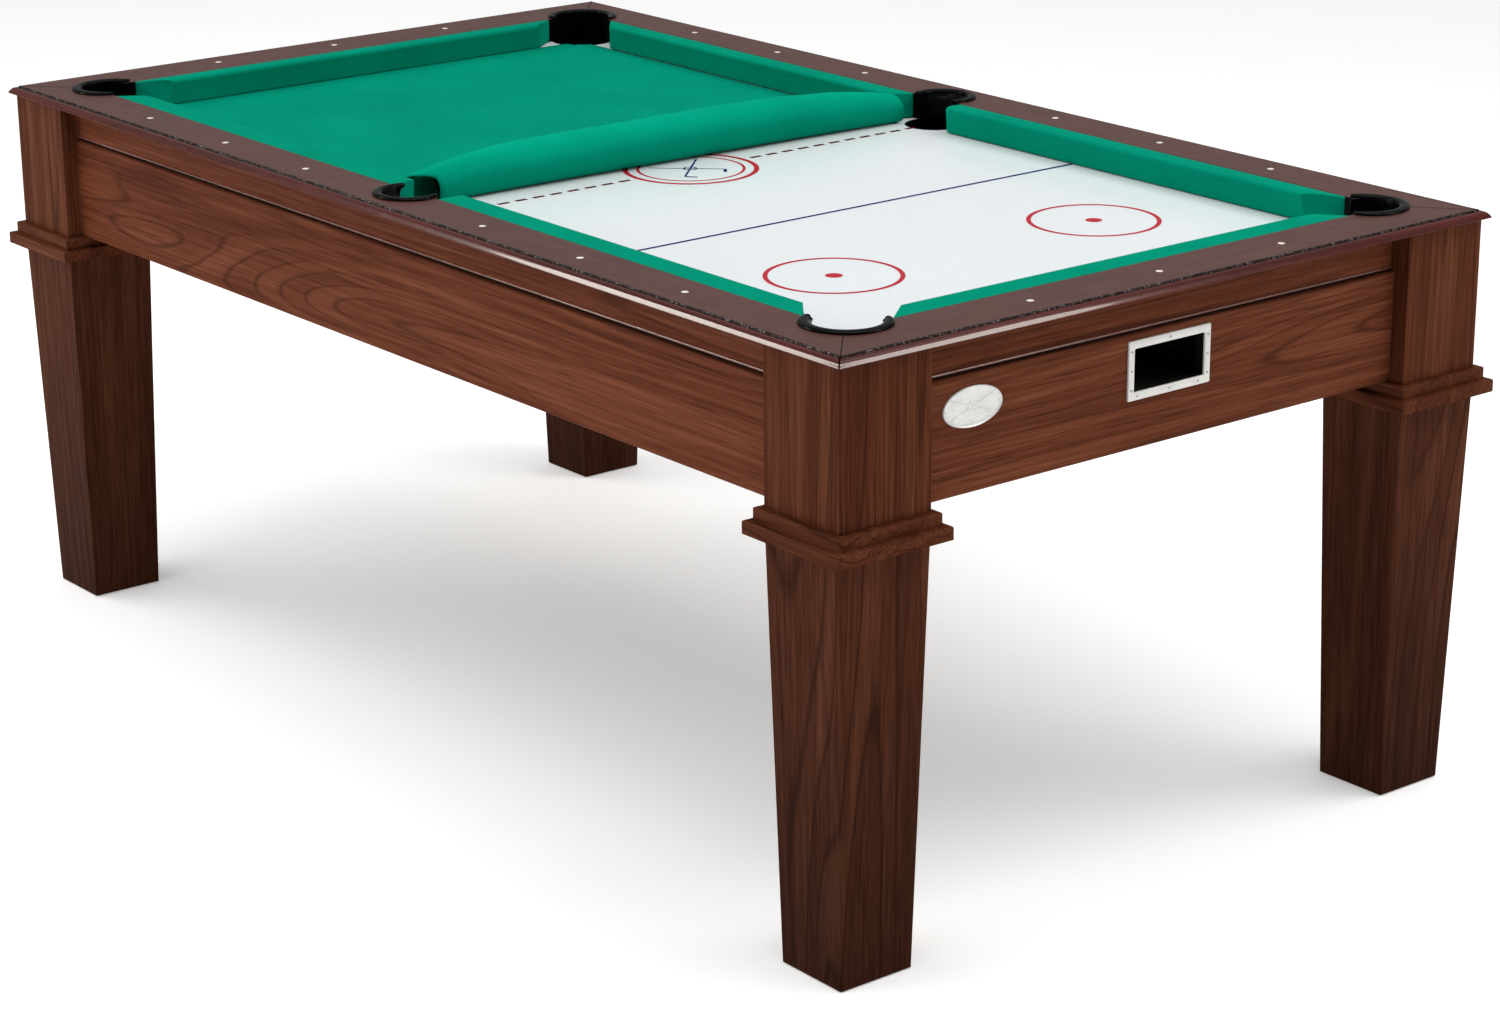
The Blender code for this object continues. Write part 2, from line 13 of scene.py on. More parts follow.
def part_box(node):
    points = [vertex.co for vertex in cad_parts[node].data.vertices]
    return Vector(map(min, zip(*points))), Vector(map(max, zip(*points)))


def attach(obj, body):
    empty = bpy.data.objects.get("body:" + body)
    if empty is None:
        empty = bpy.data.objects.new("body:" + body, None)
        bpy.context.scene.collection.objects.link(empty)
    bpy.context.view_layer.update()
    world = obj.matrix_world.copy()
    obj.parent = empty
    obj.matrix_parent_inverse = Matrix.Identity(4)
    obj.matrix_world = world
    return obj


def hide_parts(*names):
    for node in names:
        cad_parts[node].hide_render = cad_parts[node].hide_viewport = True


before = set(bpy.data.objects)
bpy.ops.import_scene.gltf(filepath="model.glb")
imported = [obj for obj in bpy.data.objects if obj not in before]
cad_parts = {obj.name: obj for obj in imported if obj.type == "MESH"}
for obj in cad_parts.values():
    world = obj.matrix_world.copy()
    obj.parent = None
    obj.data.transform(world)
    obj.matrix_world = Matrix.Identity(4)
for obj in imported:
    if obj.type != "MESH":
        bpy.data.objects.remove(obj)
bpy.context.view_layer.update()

# ---- places taken from the CAD
RAIL_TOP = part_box("left_rail")[1].z
RAIL_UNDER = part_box("left_edge_bead")[0].z
BED_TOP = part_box("playfield_board")[1].z
HALF_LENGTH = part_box("foot_edge_bead")[1].x
HALF_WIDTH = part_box("right_edge_bead")[1].y
NOSE_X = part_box("foot_cushion")[0].x
NOSE_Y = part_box("right_cushion_foot_half")[0].y
CUSHION_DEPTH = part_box("foot_cushion")[1].x - NOSE_X
WOOD_X = NOSE_X + CUSHION_DEPTH
WOOD_Y = NOSE_Y + CUSHION_DEPTH
BEAD_WIDE = HALF_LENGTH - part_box("foot_edge_bead")[0].x
SIGHT_SPACING = 0.226
SIGHT_X, SIGHT_Y = 0.990, 0.532
CORNER_POCKET = (0.919, 0.467)
CORNER_TUBE_R = 0.0524
SIDE_POCKET_Y = 0.484
SIDE_TUBE_R = 0.0455
POCKET_WALL = 0.003

SIDES = {"left": (True, -1), "right": (True, 1), "foot": (False, 1), "head": (False, -1)}
CORNERS = {"foot_left": (1, -1), "foot_right": (1, 1), "head_left": (-1, -1), "head_right": (-1, 1)}


# ---- mesh helpers
def link(obj):
    bpy.context.scene.collection.objects.link(obj)
    return obj


def make_object(name, bm, mat, body="table", smooth=40.0):
    """Turn a bmesh into a piece that rides on a body; edges sharper than `smooth` degrees stay crisp."""
    bmesh.ops.remove_doubles(bm, verts=bm.verts, dist=1e-6)
    bmesh.ops.recalc_face_normals(bm, faces=bm.faces)
    mesh = bpy.data.meshes.new(name)
    bm.to_mesh(mesh)
    bm.free()
    mesh.materials.append(mat)
    mesh.shade_smooth()
    mesh.set_sharp_from_angle(angle=math.radians(smooth))
    obj = link(bpy.data.objects.new(name, mesh))
    if body:
        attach(obj, body)
    return obj


def skin(bm, rings, closed_ring=True, capped=True, closed_loft=False):
    """Faces between neighbouring rings of points, added to bm."""
    rows = [[bm.verts.new(p) for p in ring] for ring in rings]
    count = len(rows[0])
    pairs = list(zip(rows, rows[1:]))
    if closed_loft:
        pairs.append((rows[-1], rows[0]))
    for low, high in pairs:
        for i in range(count if closed_ring else count - 1):
            j = (i + 1) % count
            bm.faces.new((low[i], low[j], high[j], high[i]))
    if capped and not closed_loft:
        bm.faces.new(rows[0][::-1])
        bm.faces.new(rows[-1])
    return rows


def side_point(along_x, sign, run, out, z):
    return (run, sign * out, z) if along_x else (sign * out, run, z)


def circle(cx, cy, radius, count, start=0.0):
    step = 2 * math.pi / count
    return [(cx + radius * math.cos(start + i * step), cy + radius * math.sin(start + i * step))
            for i in range(count)]


def lathe(bm, cx, cy, profile, count=32):
    """A turned shape about an upright axis: profile is (radius, z) from one end to the other."""
    skin(bm, [[(x, y, z) for x, y in circle(cx, cy, r, count)] for r, z in profile])


def smoothstep(low, high, value):
    t = min(1.0, max(0.0, (value - low) / (high - low)))
    return t * t * (3 - 2 * t)


# ---- node helpers
def shader_material(name, **sockets):
    """A Principled material; sockets are values set straight on the shader."""
    mat = bpy.data.materials.new(name)
    mat.use_nodes = True
    shader = mat.node_tree.nodes["Principled BSDF"]
    for socket, value in sockets.items():
        shader.inputs[socket.replace("_", " ")].default_value = value
    return mat, mat.node_tree, shader


def feed(tree, socket, value):
    """Give a socket a value, or link another node's output to it."""
    if isinstance(value, bpy.types.NodeSocket):
        tree.links.new(value, socket)
    else:
        socket.default_value = value


def node(tree, kind, inputs=None, **settings):
    """One shader node with its settings; an input is a value or another node's output socket."""
    made = tree.nodes.new("ShaderNode" + kind)
    for key, value in settings.items():
        setattr(made, key, value)
    for key, value in (inputs or {}).items():
        feed(tree, made.inputs[key], value)
    return made


def place(tree, scale=(1, 1, 1), offset=(0, 0, 0)):
    """Object coordinates stretched by scale, then moved by offset."""
    coords = node(tree, "TexCoord")
    return node(tree, "Mapping",
                {"Vector": coords.outputs["Object"], "Scale": scale, "Location": offset}).outputs[0]


def height_of(tree):
    """Height above the object's own origin."""
    return node(tree, "SeparateXYZ", {"Vector": place(tree)}).outputs[2]


def noise_tex(tree, vector, scale, detail=2.0, rough=0.5, distortion=0.0):
    made = node(tree, "TexNoise",
                {"Vector": vector, "Scale": scale, "Detail": detail, "Roughness": rough,
                 "Distortion": distortion})
    return made.outputs["Fac"]


def maths(tree, operation, a, b=0.0, c=0.0):
    made = tree.nodes.new("ShaderNodeMath")
    made.operation = operation
    for socket, value in zip(made.inputs, (a, b, c)):
        feed(tree, socket, value)
    return made.outputs[0]


def remap(tree, value, low, high, out_low, out_high):
    return node(tree, "MapRange",
                {"Value": value, "From Min": low, "From Max": high, "To Min": out_low,
                 "To Max": out_high}).outputs[0]


def ramp(tree, value, stops):
    made = node(tree, "ValToRGB", {"Fac": value})
    elements = made.color_ramp.elements
    while len(elements) < len(stops):
        elements.new(0.5)
    for element, (position, colour) in zip(elements, stops):
        element.position = position
        element.color = (*colour, 1)
    return made.outputs["Color"]


def mix(tree, factor, a, b, blend="MIX"):
    made = tree.nodes.new("ShaderNodeMix")
    made.data_type = "RGBA"
    made.blend_type = blend
    for index, value in ((0, factor), (6, a), (7, b)):
        feed(tree, made.inputs[index], (*value, 1) if isinstance(value, (list, tuple)) else value)
    return made.outputs[2]


def bump(tree, shader, height, strength, distance):
    made = node(tree, "Bump", {"Height": height, "Strength": strength, "Distance": distance})
    tree.links.new(made.outputs[0], shader.inputs["Normal"])


def plug(tree, shader, **links):
    for socket, value in links.items():
        tree.links.new(value, shader.inputs[socket.replace("_", " ")])


# ---- materials
def wood(name, grain, seed, tones, gloss=0.46, figure=1.0, painted_shade_below=None):
    """Walnut-print laminate whose grain runs along one axis: growth lines, fibres and pores.
    painted_shade_below is (low z, high z, share of the tone left at the low one): painted shade that darkens
    the wood towards its foot, where less light falls."""
    mat, tree, shader = shader_material(name, Specular_IOR_Level=0.015)
    rng = random.Random(seed)
    offset = [rng.uniform(-20, 20) for _ in range(3)]
    stretch, fibre_stretch = [1.0, 1.0, 1.0], [1.0, 1.0, 1.0]
    stretch["xyz".index(grain)] = 0.085
    fibre_stretch["xyz".index(grain)] = 0.020
    flow = place(tree, stretch, offset)
    fibres_at = place(tree, fibre_stretch, offset[::-1])
    field = noise_tex(tree, flow, 4.4, 2.0, 0.42, 0.30)
    wave = maths(tree, "SINE", maths(tree, "MULTIPLY", field, 96.0 * figure))
    lines = maths(tree, "SUBTRACT", 1.0, maths(tree, "MULTIPLY", maths(tree, "ABSOLUTE", wave), 2.6))
    lines = maths(tree, "MAXIMUM", lines, 0.0)
    broad = noise_tex(tree, flow, 10.0, 2.0, 0.5)
    fibres = noise_tex(tree, fibres_at, 190.0, 3.0, 0.62)
    fine = noise_tex(tree, fibres_at, 640.0, 2.0, 0.6)
    value = maths(tree, "MULTIPLY_ADD", wave, 0.035, 0.06)
    value = maths(tree, "MULTIPLY_ADD", broad, 0.30, value)
    value = maths(tree, "MULTIPLY_ADD", fibres, 0.50, value)
    value = maths(tree, "MULTIPLY_ADD", fine, 0.28, value)
    colour = ramp(tree, value, [(0.43, tones[0]), (0.60, tones[1]), (0.77, tones[2])])
    dark = [c * 0.45 for c in tones[0]]
    patchy = remap(tree, noise_tex(tree, flow, 7.0, 1.0, 0.5), 0.42, 0.62, 0.10, 0.62)
    colour = mix(tree, maths(tree, "MULTIPLY", lines, patchy), colour, dark)
    pores = remap(tree, noise_tex(tree, fibres_at, 430.0, 1.0, 0.5), 0.60, 0.72, 0.0, 0.5)
    colour = mix(tree, pores, colour, dark)
    # painted shade: the colour is darkened towards the low end, standing in for less light near the floor
    if painted_shade_below:
        low, high, left = painted_shade_below
        keep = remap(tree, height_of(tree), low, high, left, 1.0)
        colour = mix(tree, 1.0, colour, ramp(tree, keep, [(0.0, (0, 0, 0)), (1.0, (1, 1, 1))]), "MULTIPLY")
    plug(tree, shader, Base_Color=colour, Roughness=remap(tree, value, 0.4, 0.8, gloss + 0.06, gloss - 0.05))
    bump(tree, shader, maths(tree, "SUBTRACT", fine, pores), 0.15, 0.0003)
    return mat


def lacquer(name, grain, seed, tones, roughness, coat=0.0, shine=0.35):
    """Dark stained wood under a smooth finish, with faint long grain and small dust-fine scuffs."""
    mat, tree, shader = shader_material(name, Coat_Weight=coat, Coat_Roughness=0.05,
                                        Specular_IOR_Level=shine)
    stretch = [1.0, 1.0, 1.0]
    stretch["xyz".index(grain)] = 0.03
    offset = [seed * 1.7, seed * 0.9, seed * 0.4]
    at = place(tree, stretch, offset)
    even = place(tree, offset=offset)
    streaks = noise_tex(tree, at, 120.0, 3.0, 0.6)
    cloud = noise_tex(tree, even, 14.0, 3.0, 0.6)
    value = maths(tree, "MULTIPLY_ADD", cloud, 0.3, maths(tree, "MULTIPLY", streaks, 0.7))
    colour = ramp(tree, value, [(0.32, tones[0]), (0.68, tones[1])])
    scuffs = noise_tex(tree, even, 55.0, 4.0, 0.7)
    plug(tree, shader, Base_Color=colour,
         Roughness=remap(tree, scuffs, 0.3, 0.75, roughness - 0.03, roughness + 0.07))
    bump(tree, shader, streaks, 0.08, 0.0002)
    return mat


def felt(name, dark, light, seed=0.0, painted_light_above=None):
    """Napped billiard cloth: crossed yarns, short fibres and a slightly uneven dye.
    painted_light_above is (low z, high z, gain): painted light, cloth lying higher over the roll is made
    lighter."""
    mat, tree, shader = shader_material(name, Sheen_Weight=0.03, Sheen_Roughness=0.5,
                                        Sheen_Tint=(0.0, 1.0, 0.8, 1), Specular_IOR_Level=0.015)
    at = place(tree, offset=(seed, seed * 0.7, 0))
    warp = noise_tex(tree, place(tree, (0.16, 1, 1)), 1500.0, 1.0, 0.5)
    weft = noise_tex(tree, place(tree, (1, 0.16, 1)), 1500.0, 1.0, 0.5)
    nap = noise_tex(tree, at, 420.0, 4.0, 0.75)
    dye = noise_tex(tree, at, 7.0, 3.0, 0.6)
    weave = maths(tree, "MULTIPLY", maths(tree, "ADD", warp, weft), 0.5)
    value = maths(tree, "MULTIPLY_ADD", nap, 0.4, maths(tree, "MULTIPLY", weave, 0.3))
    value = maths(tree, "MULTIPLY_ADD", dye, 0.3, value)
    colour = ramp(tree, value, [(0.34, dark), (0.66, light)])
    # painted light: the colour is scaled up with height, so the roll's top reads lighter
    if painted_light_above:
        low, high, most = painted_light_above
        gain = remap(tree, height_of(tree), low, high, 1.0, most)
        colour = node(tree, "VectorMath", {0: colour, "Scale": gain}, operation="SCALE").outputs[0]
    plug(tree, shader, Base_Color=colour, Roughness=remap(tree, nap, 0.3, 0.7, 0.84, 0.97))
    bump(tree, shader, maths(tree, "ADD", weave, nap), 0.25, 0.0003)
    return mat


def moulded(name, colour, roughness, texture=900.0, depth=0.12, shine=0.5):
    """Moulded plastic with a fine pebble texture and a slightly rubbed finish."""
    mat, tree, shader = shader_material(name, Specular_IOR_Level=shine)
    at = place(tree)
    pebble = noise_tex(tree, at, texture, 2.0, 0.5)
    rub = noise_tex(tree, at, 30.0, 4.0, 0.65)
    lighter = [c * 2.2 + 0.001 for c in colour]
    plug(tree, shader, Base_Color=ramp(tree, rub, [(0.35, colour), (0.75, lighter)]),
         Roughness=remap(tree, rub, 0.3, 0.75, roughness - 0.05, roughness + 0.12))
    bump(tree, shader, pebble, depth, 0.0003)
    return mat


def metal(name, colour, roughness, metallic=0.85, stipple=0.0):
    """Metal with a smeared polish, and either brushed or cast with a stippled face."""
    mat, tree, shader = shader_material(name, Metallic=metallic)
    brushed = noise_tex(tree, place(tree, (1, 0.04, 1)), 900.0, 2.0, 0.5)
    smear = noise_tex(tree, place(tree), 40.0, 4.0, 0.6)
    darker = [c * 0.86 for c in colour]
    plug(tree, shader, Base_Color=ramp(tree, smear, [(0.3, darker), (0.7, colour)]),
         Roughness=remap(tree, brushed, 0.3, 0.7, roughness - 0.06, roughness + 0.08))
    if stipple:
        bump(tree, shader, noise_tex(tree, place(tree), 1100.0, 1.0, 0.5), stipple, 0.0004)
    else:
        bump(tree, shader, brushed, 0.08, 0.0001)
    return mat


def gloss_sheet(name, colour, spread=0.02, roughness=0.13, face_above=None, shine=0.5):
    """Glossy laminate or print with faint rub marks; a board that is faced on top only shows
    its dark core below face_above."""
    mat, tree, shader = shader_material(name, Specular_IOR_Level=shine)
    at = place(tree)
    cloud = noise_tex(tree, at, 5.0, 4.0, 0.6)
    rub = noise_tex(tree, at, 60.0, 5.0, 0.7)
    low = [max(0.0, c - spread) for c in colour]
    shade = ramp(tree, cloud, [(0.3, low), (0.7, colour)])
    if face_above is not None:
        shade = mix(tree, maths(tree, "GREATER_THAN", height_of(tree), face_above), BOARD_CORE, shade)
    plug(tree, shader, Base_Color=shade,
         Roughness=remap(tree, rub, 0.35, 0.7, roughness - 0.02, roughness + 0.10))
    bump(tree, shader, noise_tex(tree, at, 700.0, 1.0, 0.5), 0.02, 0.0002)
    return mat


def chipboard(name):
    """Raw board of pressed chips in mixed browns."""
    mat, tree, shader = shader_material(name, Specular_IOR_Level=0.2)
    chips = node(tree, "TexVoronoi",
                 {"Vector": place(tree, (1, 1, 1.6)), "Scale": 260.0}).outputs["Color"]
    tone = node(tree, "SeparateColor", {"Color": chips}).outputs[0]
    plug(tree, shader,
         Base_Color=ramp(tree, tone, [(0.0, (0.20, 0.13, 0.075)), (1.0, (0.42, 0.31, 0.19))]),
         Roughness=remap(tree, tone, 0.0, 1.0, 0.7, 0.9))
    bump(tree, shader, tone, 0.3, 0.0004)
    return mat


def groove_shade_edging(name):
    """Black strip whose black is painted shade in the groove between bead and rail, with pale flecks that
    are a painted highlight.
    """
    mat, tree, shader = shader_material(name, Specular_IOR_Level=0.08)
    painted_glints = noise_tex(tree, place(tree), 330.0, 1.0, 0.5)
    # painted shade and painted highlight: near-black with pale flecks of highlight
    colour = ramp(tree, painted_glints, [(0.55, (0.004, 0.003, 0.003)), (0.68, (0.16, 0.13, 0.125))])
    plug(tree, shader, Base_Color=colour,
         Roughness=remap(tree, painted_glints, 0.3, 0.7, 0.55, 0.4))
    return mat


BOARD_CORE = (0.05, 0.035, 0.022)
WALNUT = ((0.064, 0.0165, 0.0082), (0.121, 0.0345, 0.0160), (0.176, 0.0590, 0.0290))
WALNUT_POST = ((0.041, 0.0108, 0.0048), (0.084, 0.0240, 0.0104), (0.132, 0.0450, 0.0210))
WALNUT_DARK = ((0.034, 0.0100, 0.0048), (0.070, 0.0215, 0.0100), (0.112, 0.0390, 0.0190))
CLOTH_DARK = (0.0, 0.172, 0.103)
CLOTH_LIGHT = (0.0, 0.262, 0.166)

# the mat's cloth carries painted light over its roll
MAT_CLOTH = felt("mat_cloth", CLOTH_DARK, CLOTH_LIGHT, 0.0, (BED_TOP + 0.022, BED_TOP + 0.060, 1.30))
CUSHION_CLOTH = felt("cushion_cloth", CLOTH_DARK, CLOTH_LIGHT, 3.1)
LINER_PLASTIC = moulded("liner_plastic", (0.0008, 0.0008, 0.0009), 0.22, shine=0.06)
TRACK_PLASTIC = moulded("track_black_plastic", (0.003, 0.003, 0.003), 0.6, shine=0.1)
PAD_RUBBER = moulded("pad_rubber", (0.016, 0.016, 0.017), 0.62, 500.0, 0.25)
FRAME_METAL = metal("frame_pale_metal", (0.70, 0.69, 0.66), 0.36, 0.1)
BADGE_METAL = metal("badge_metal", (0.74, 0.75, 0.73), 0.30, 0.2, 0.35)
SCREW_METAL = metal("screw_metal", (0.40, 0.39, 0.37), 0.3)
STUD_METAL = metal("stud_zinc", (0.55, 0.55, 0.56), 0.3)
SIGHT_PEARL = gloss_sheet("sight_pearl", (0.78, 0.74, 0.66), 0.10, 0.25)
BED_SHEET = gloss_sheet("bed_white_laminate", (0.74, 0.785, 0.81), 0.015, face_above=BED_TOP - 0.0012)
PRINT_RED = gloss_sheet("print_red", (0.42, 0.012, 0.028), 0.01, shine=0.06)
PRINT_MAROON = gloss_sheet("print_maroon", (0.10, 0.002, 0.006), 0.002, shine=0.05)
PRINT_NAVY = gloss_sheet("print_navy", (0.008, 0.014, 0.13), 0.004, shine=0.05)
BOARD = chipboard("raw_chipboard")
BLACK_EDGE = moulded("black_edge", (0.004, 0.0035, 0.0035), 0.6, shine=0.1)
EDGING_PAINTED_SHADE = groove_shade_edging("edging_painted_shade_and_glints")


def give(name, mat):
    """Put a material on every slot of a CAD node."""
    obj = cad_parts[name]
    if not obj.material_slots:
        obj.data.materials.append(mat)
    for slot in obj.material_slots:
        slot.link = "OBJECT"
        slot.material = mat


def dress_cad():
    give("playfield_board", BED_SHEET)
    for index, (side, (along_x, _)) in enumerate(SIDES.items()):
        grain = "x" if along_x else "y"
        give(side + "_rail", lacquer(side + "_rail_laminate", grain, 3 + index,
                                     ((0.056, 0.019, 0.015), (0.088, 0.031, 0.024)), 0.36))
        give(side + "_fascia", wood(side + "_fascia_walnut", grain, 20 + index, WALNUT, 0.44, 0.7))
        give(side + "_apron", wood(side + "_apron_walnut", grain, 30 + index, WALNUT, 0.46))
    for index, name in enumerate(CORNERS):
        give(name + "_corner_post", wood(name + "_post_walnut", "z", 40 + index, WALNUT_POST, 0.46, 0.8))
        # the legs get painted shade, darker towards the floor
        give(name + "_leg", wood(name + "_leg_walnut", "z", 50 + index, WALNUT_DARK, 0.46, 0.9,
                                  (0.02, 0.56, 0.50)))
        give(name + "_leg_collar", wood(name + "_collar_walnut", "x", 60 + index, WALNUT_POST, 0.40, 0.7))
    for name in ("head", "middle", "foot"):
        give(name + "_cross_board", BOARD)
    for name in ("left_ball_track", "right_ball_track", "ball_box"):
        give(name, TRACK_PLASTIC)


# ---- beads
def half_run(along_x, out):
    """Half length of a mitred strip at a distance out from the table centre."""
    inner, outer = (WOOD_X, WOOD_Y), (HALF_LENGTH, HALF_WIDTH)
    a, b = (0, 1) if along_x else (1, 0)
    share = (out - inner[b]) / (outer[b] - inner[b])
    return inner[a] + share * (outer[a] - inner[a])


def bead_section(outer, high):
    """Outline (out, z) of a bead below the height given: flat back, slow fall outwards, tight lip."""
    out, z = 0.0032, high
    section = [(0.0, high - 0.0006), (0.0008, high), (out, z)]
    for first, last, length, steps in ((90, 50, 0.0063, 8), (50, 22, 0.0080, 10), (22, -90, 0.0008, 6)):
        for i in range(steps):
            normal = math.radians(first + (last - first) * (i + 0.5) / steps)
            out += math.sin(normal) * length / steps
            z -= math.cos(normal) * length / steps
            section.append((out, z))
    section.append((0.0, z))
    reach = max(out for out, _ in section)
    return [(outer - reach + out, z) for out, z in section]


def mitred_sweep(bm, along_x, sign, section, mitre_gap=0.0, steps=24):
    """Sweep an outline (out, z) along one side, with mitred ends."""
    rings = []
    for k in range(steps + 1):
        share = 2 * k / steps - 1
        rings.append([side_point(along_x, sign, share * (half_run(along_x, out) - mitre_gap), out, z)
                      for out, z in section])
    skin(bm, rings)


def make_beads():
    """Lacquered strip along each rail's outer edge, and the black edging between strip and rail, which
    paints the groove's shade and a broken highlight.
    """
    top = RAIL_TOP
    edging = bmesh.new()
    for index, (side, (along_x, sign)) in enumerate(SIDES.items()):
        outer = HALF_WIDTH if along_x else HALF_LENGTH
        bm = bmesh.new()
        mitred_sweep(bm, along_x, sign, bead_section(outer, top - 0.0024), 0.0014)
        finish = lacquer(side + "_bead_mahogany", "x" if along_x else "y", 11 + index,
                         ((0.036, 0.005, 0.004), (0.085, 0.014, 0.010)), 0.16, 0.42, 0.12)
        bead = make_object(side + "_bead", bm, finish, smooth=50)
        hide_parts(side + "_edge_bead")
        # the edging strip fills the groove with painted shade
        edge = outer - BEAD_WIDE - 0.0003
        outline = [(edge - 0.0017, top - 0.0004), (edge - 0.0016, top + 0.00012),
                   (edge - 0.0012, top + 0.0002), (edge + 0.0002, top - 0.0012),
                   (edge + 0.0005, top - 0.0018), (edge + 0.0005, top - 0.0046),
                   (edge - 0.0003, top - 0.0046)]
        mitred_sweep(edging, along_x, sign, outline, 0.0003, 12)
    make_object("rail_edging_painted_shade", edging, EDGING_PAINTED_SHADE, smooth=30)


def fascia_edge(side):
    """Lower edge of a fascia: distance out to its face, half length and height."""
    low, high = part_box(side + "_fascia")
    axis = 1 if SIDES[side][0] else 0
    return max(abs(low[axis]), abs(high[axis])), high[1 - axis], low.z


def make_fascia_lips():
    """Small half-round lip along the lower edge of each fascia, above the shadow groove; its lacquer is
    lighter than the fascia's walnut, partly a painted highlight along the edge.
    """
    radius = 0.0016
    for index, (side, (along_x, sign)) in enumerate(SIDES.items()):
        face, reach, bottom = fascia_edge(side)
        rings = []
        steps = 16
        for k in range(steps + 1):
            run = reach * (2 * k / steps - 1)
            ring = []
            for i in range(13):
                angle = math.radians(-90 + 15 * i)
                ring.append(side_point(along_x, sign, run, face + radius * 0.8 * math.cos(angle),
                                       bottom + radius * (1.05 + math.sin(angle))))
            ring += [side_point(along_x, sign, run, face - 0.003, bottom + radius * t) for t in (2.05, 0.05)]
            rings.append(ring)
        bm = bmesh.new()
        skin(bm, rings)
        # painted highlight: a lighter tone than the fascia, for the pale line along the edge
        finish = lacquer(side + "_lip_highlight_lacquer", "x" if along_x else "y", 71 + index,
                         ((0.12, 0.038, 0.024), (0.21, 0.085, 0.058)), 0.24, 0.35, 0.3)
        make_object(side + "_fascia_lip", bm, finish, smooth=50)


def make_groove_splines():
    """Black strips that close the shadow groove between each fascia and its apron."""
    gap = 0.0002
    bm = bmesh.new()
    for side, (along_x, sign) in SIDES.items():
        face, reach, fascia_low = fascia_edge(side)
        low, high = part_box(side + "_apron")[1].z + gap, fascia_low - gap
        back, front = face - 0.0075, face - 0.0015
        outline = [(back, low), (front, low), (front, high), (back, high)]
        skin(bm, [[side_point(along_x, sign, end * (reach - gap), out, z) for out, z in outline]
                  for end in (-1, 1)])
    make_object("groove_splines", bm, BLACK_EDGE)


def make_mitre_seams():
    """Dark joint lines across the rail tops, from each corner pocket out to the bead."""
    bm = bmesh.new()
    z = RAIL_TOP + 0.00012
    seam_start_r = 0.0608
    for sx, sy in CORNERS.values():
        inner = Vector((sx * WOOD_X, sy * WOOD_Y))
        outer = Vector((sx * (HALF_LENGTH - BEAD_WIDE), sy * (HALF_WIDTH - BEAD_WIDE)))
        pocket = Vector((sx * CORNER_POCKET[0], sy * CORNER_POCKET[1]))
        way = (outer - inner).normalized()
        steps = 12
        start = inner
        while (start - pocket).length < seam_start_r:
            start = start + way * 0.0005
        side = Vector((-way.y, way.x))
        rows = []
        for k in range(steps + 1):
            p = start + (outer - start) * k / steps
            half = 0.0017 + 0.0002 * math.sin(k * 2.1)
            rows.append([(p.x + side.x * half * e, p.y + side.y * half * e, z - 0.0008 * abs(e - d))
                         for e, d in ((-1, 1), (-0.4, -0.4), (0.4, 0.4), (1, -1))])
        skin(bm, rows)
    make_object("rail_mitre_seams", bm, BLACK_EDGE)


# ---- cushions
CUSHION_PROFILE = [            # share of the depth towards the table, drop below the rail top
    (0.0, 0.0018), (0.012, 0.0006), (0.05, 0.0002), (0.30, -0.0007), (0.60, -0.0016), (0.78, -0.0020),
    (0.88, -0.0017), (0.94, -0.0008), (0.975, 0.0006), (0.995, 0.0022), (1.0, 0.0036), (0.996, 0.0052),
    (0.984, 0.0078), (0.967, 0.0125), (0.950, 0.0195), (0.934, 0.0285), (0.922, 0.0350), (0.918, 0.0370),
    (0.905, 0.0382), (0.86, 0.0385), (0.0, 0.0385),
]


def cushion(name, node_name, side, start, start_back, stop, stop_back):
    """Rubber cushion under stretched cloth; each end folds over a slanted facing with a soft edge."""
    along_x, sign = SIDES[side]
    wood_line = (WOOD_Y if along_x else WOOD_X) - 0.0003
    depth = CUSHION_DEPTH - 0.0004
    centre_drop = 0.019
    ease = 0.0022
    edge = []                               # the rounded edge round a facing: (inset, push)
    for i in range(5):
        angle = math.pi / 2 * i / 4
        edge.append((ease * (1 - math.sin(angle)), ease * (1 - math.cos(angle))))
    rings = []

    def ring(run_of, shrink):
        points = []
        pull = shrink / 0.020
        for share, drop in CUSHION_PROFILE:
            d = share * depth
            d = d + (depth * 0.5 - d) * pull
            z_drop = drop + (centre_drop - drop) * pull
            points.append(side_point(along_x, sign, run_of(share), wood_line - d, RAIL_TOP - z_drop))
        return points

    for inset, push in edge:
        rings.append(ring(lambda share, p=push: start_back + share * (start - start_back) + p, inset))
    for s in (0.04, 0.12, 0.3, 0.5, 0.7, 0.88, 0.96):
        rings.append(ring(lambda share, s=s: (start_back + share * (start - start_back)) * (1 - s)
                          + (stop_back + share * (stop - stop_back)) * s, 0.0))
    for inset, push in reversed(edge):
        rings.append(ring(lambda share, p=push: stop_back + share * (stop - stop_back) - p, inset))
    bm = bmesh.new()
    skin(bm, rings)
    for vert in bm.verts:                   # the cloth is never quite straight over half a table
        wave = noise.noise(Vector((vert.co.x * 5, vert.co.y * 5, 0.3)))
        vert.co.z += 0.00025 * wave
    pad = make_object(name, bm, CUSHION_CLOTH, smooth=60)
    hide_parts(node_name)


def make_cushions():
    corner_nose = 0.0865
    corner_back = 0.0395
    side_nose = 0.064
    side_back = 0.055
    for side in ("foot", "head"):
        tip = NOSE_Y - corner_nose
        back = NOSE_Y - corner_back
        cushion(side + "_cloth_cushion", side + "_cushion", side, -tip, -back, tip, back)
    tip = NOSE_X - corner_nose
    back = NOSE_X - corner_back
    for side in ("left", "right"):
        cushion(side + "_foot_half_cloth_cushion", side + "_cushion_foot_half", side,
                side_nose, side_back, tip, back)
        cushion(side + "_head_half_cloth_cushion", side + "_cushion_head_half", side,
                -tip, -back, -side_nose, -side_back)


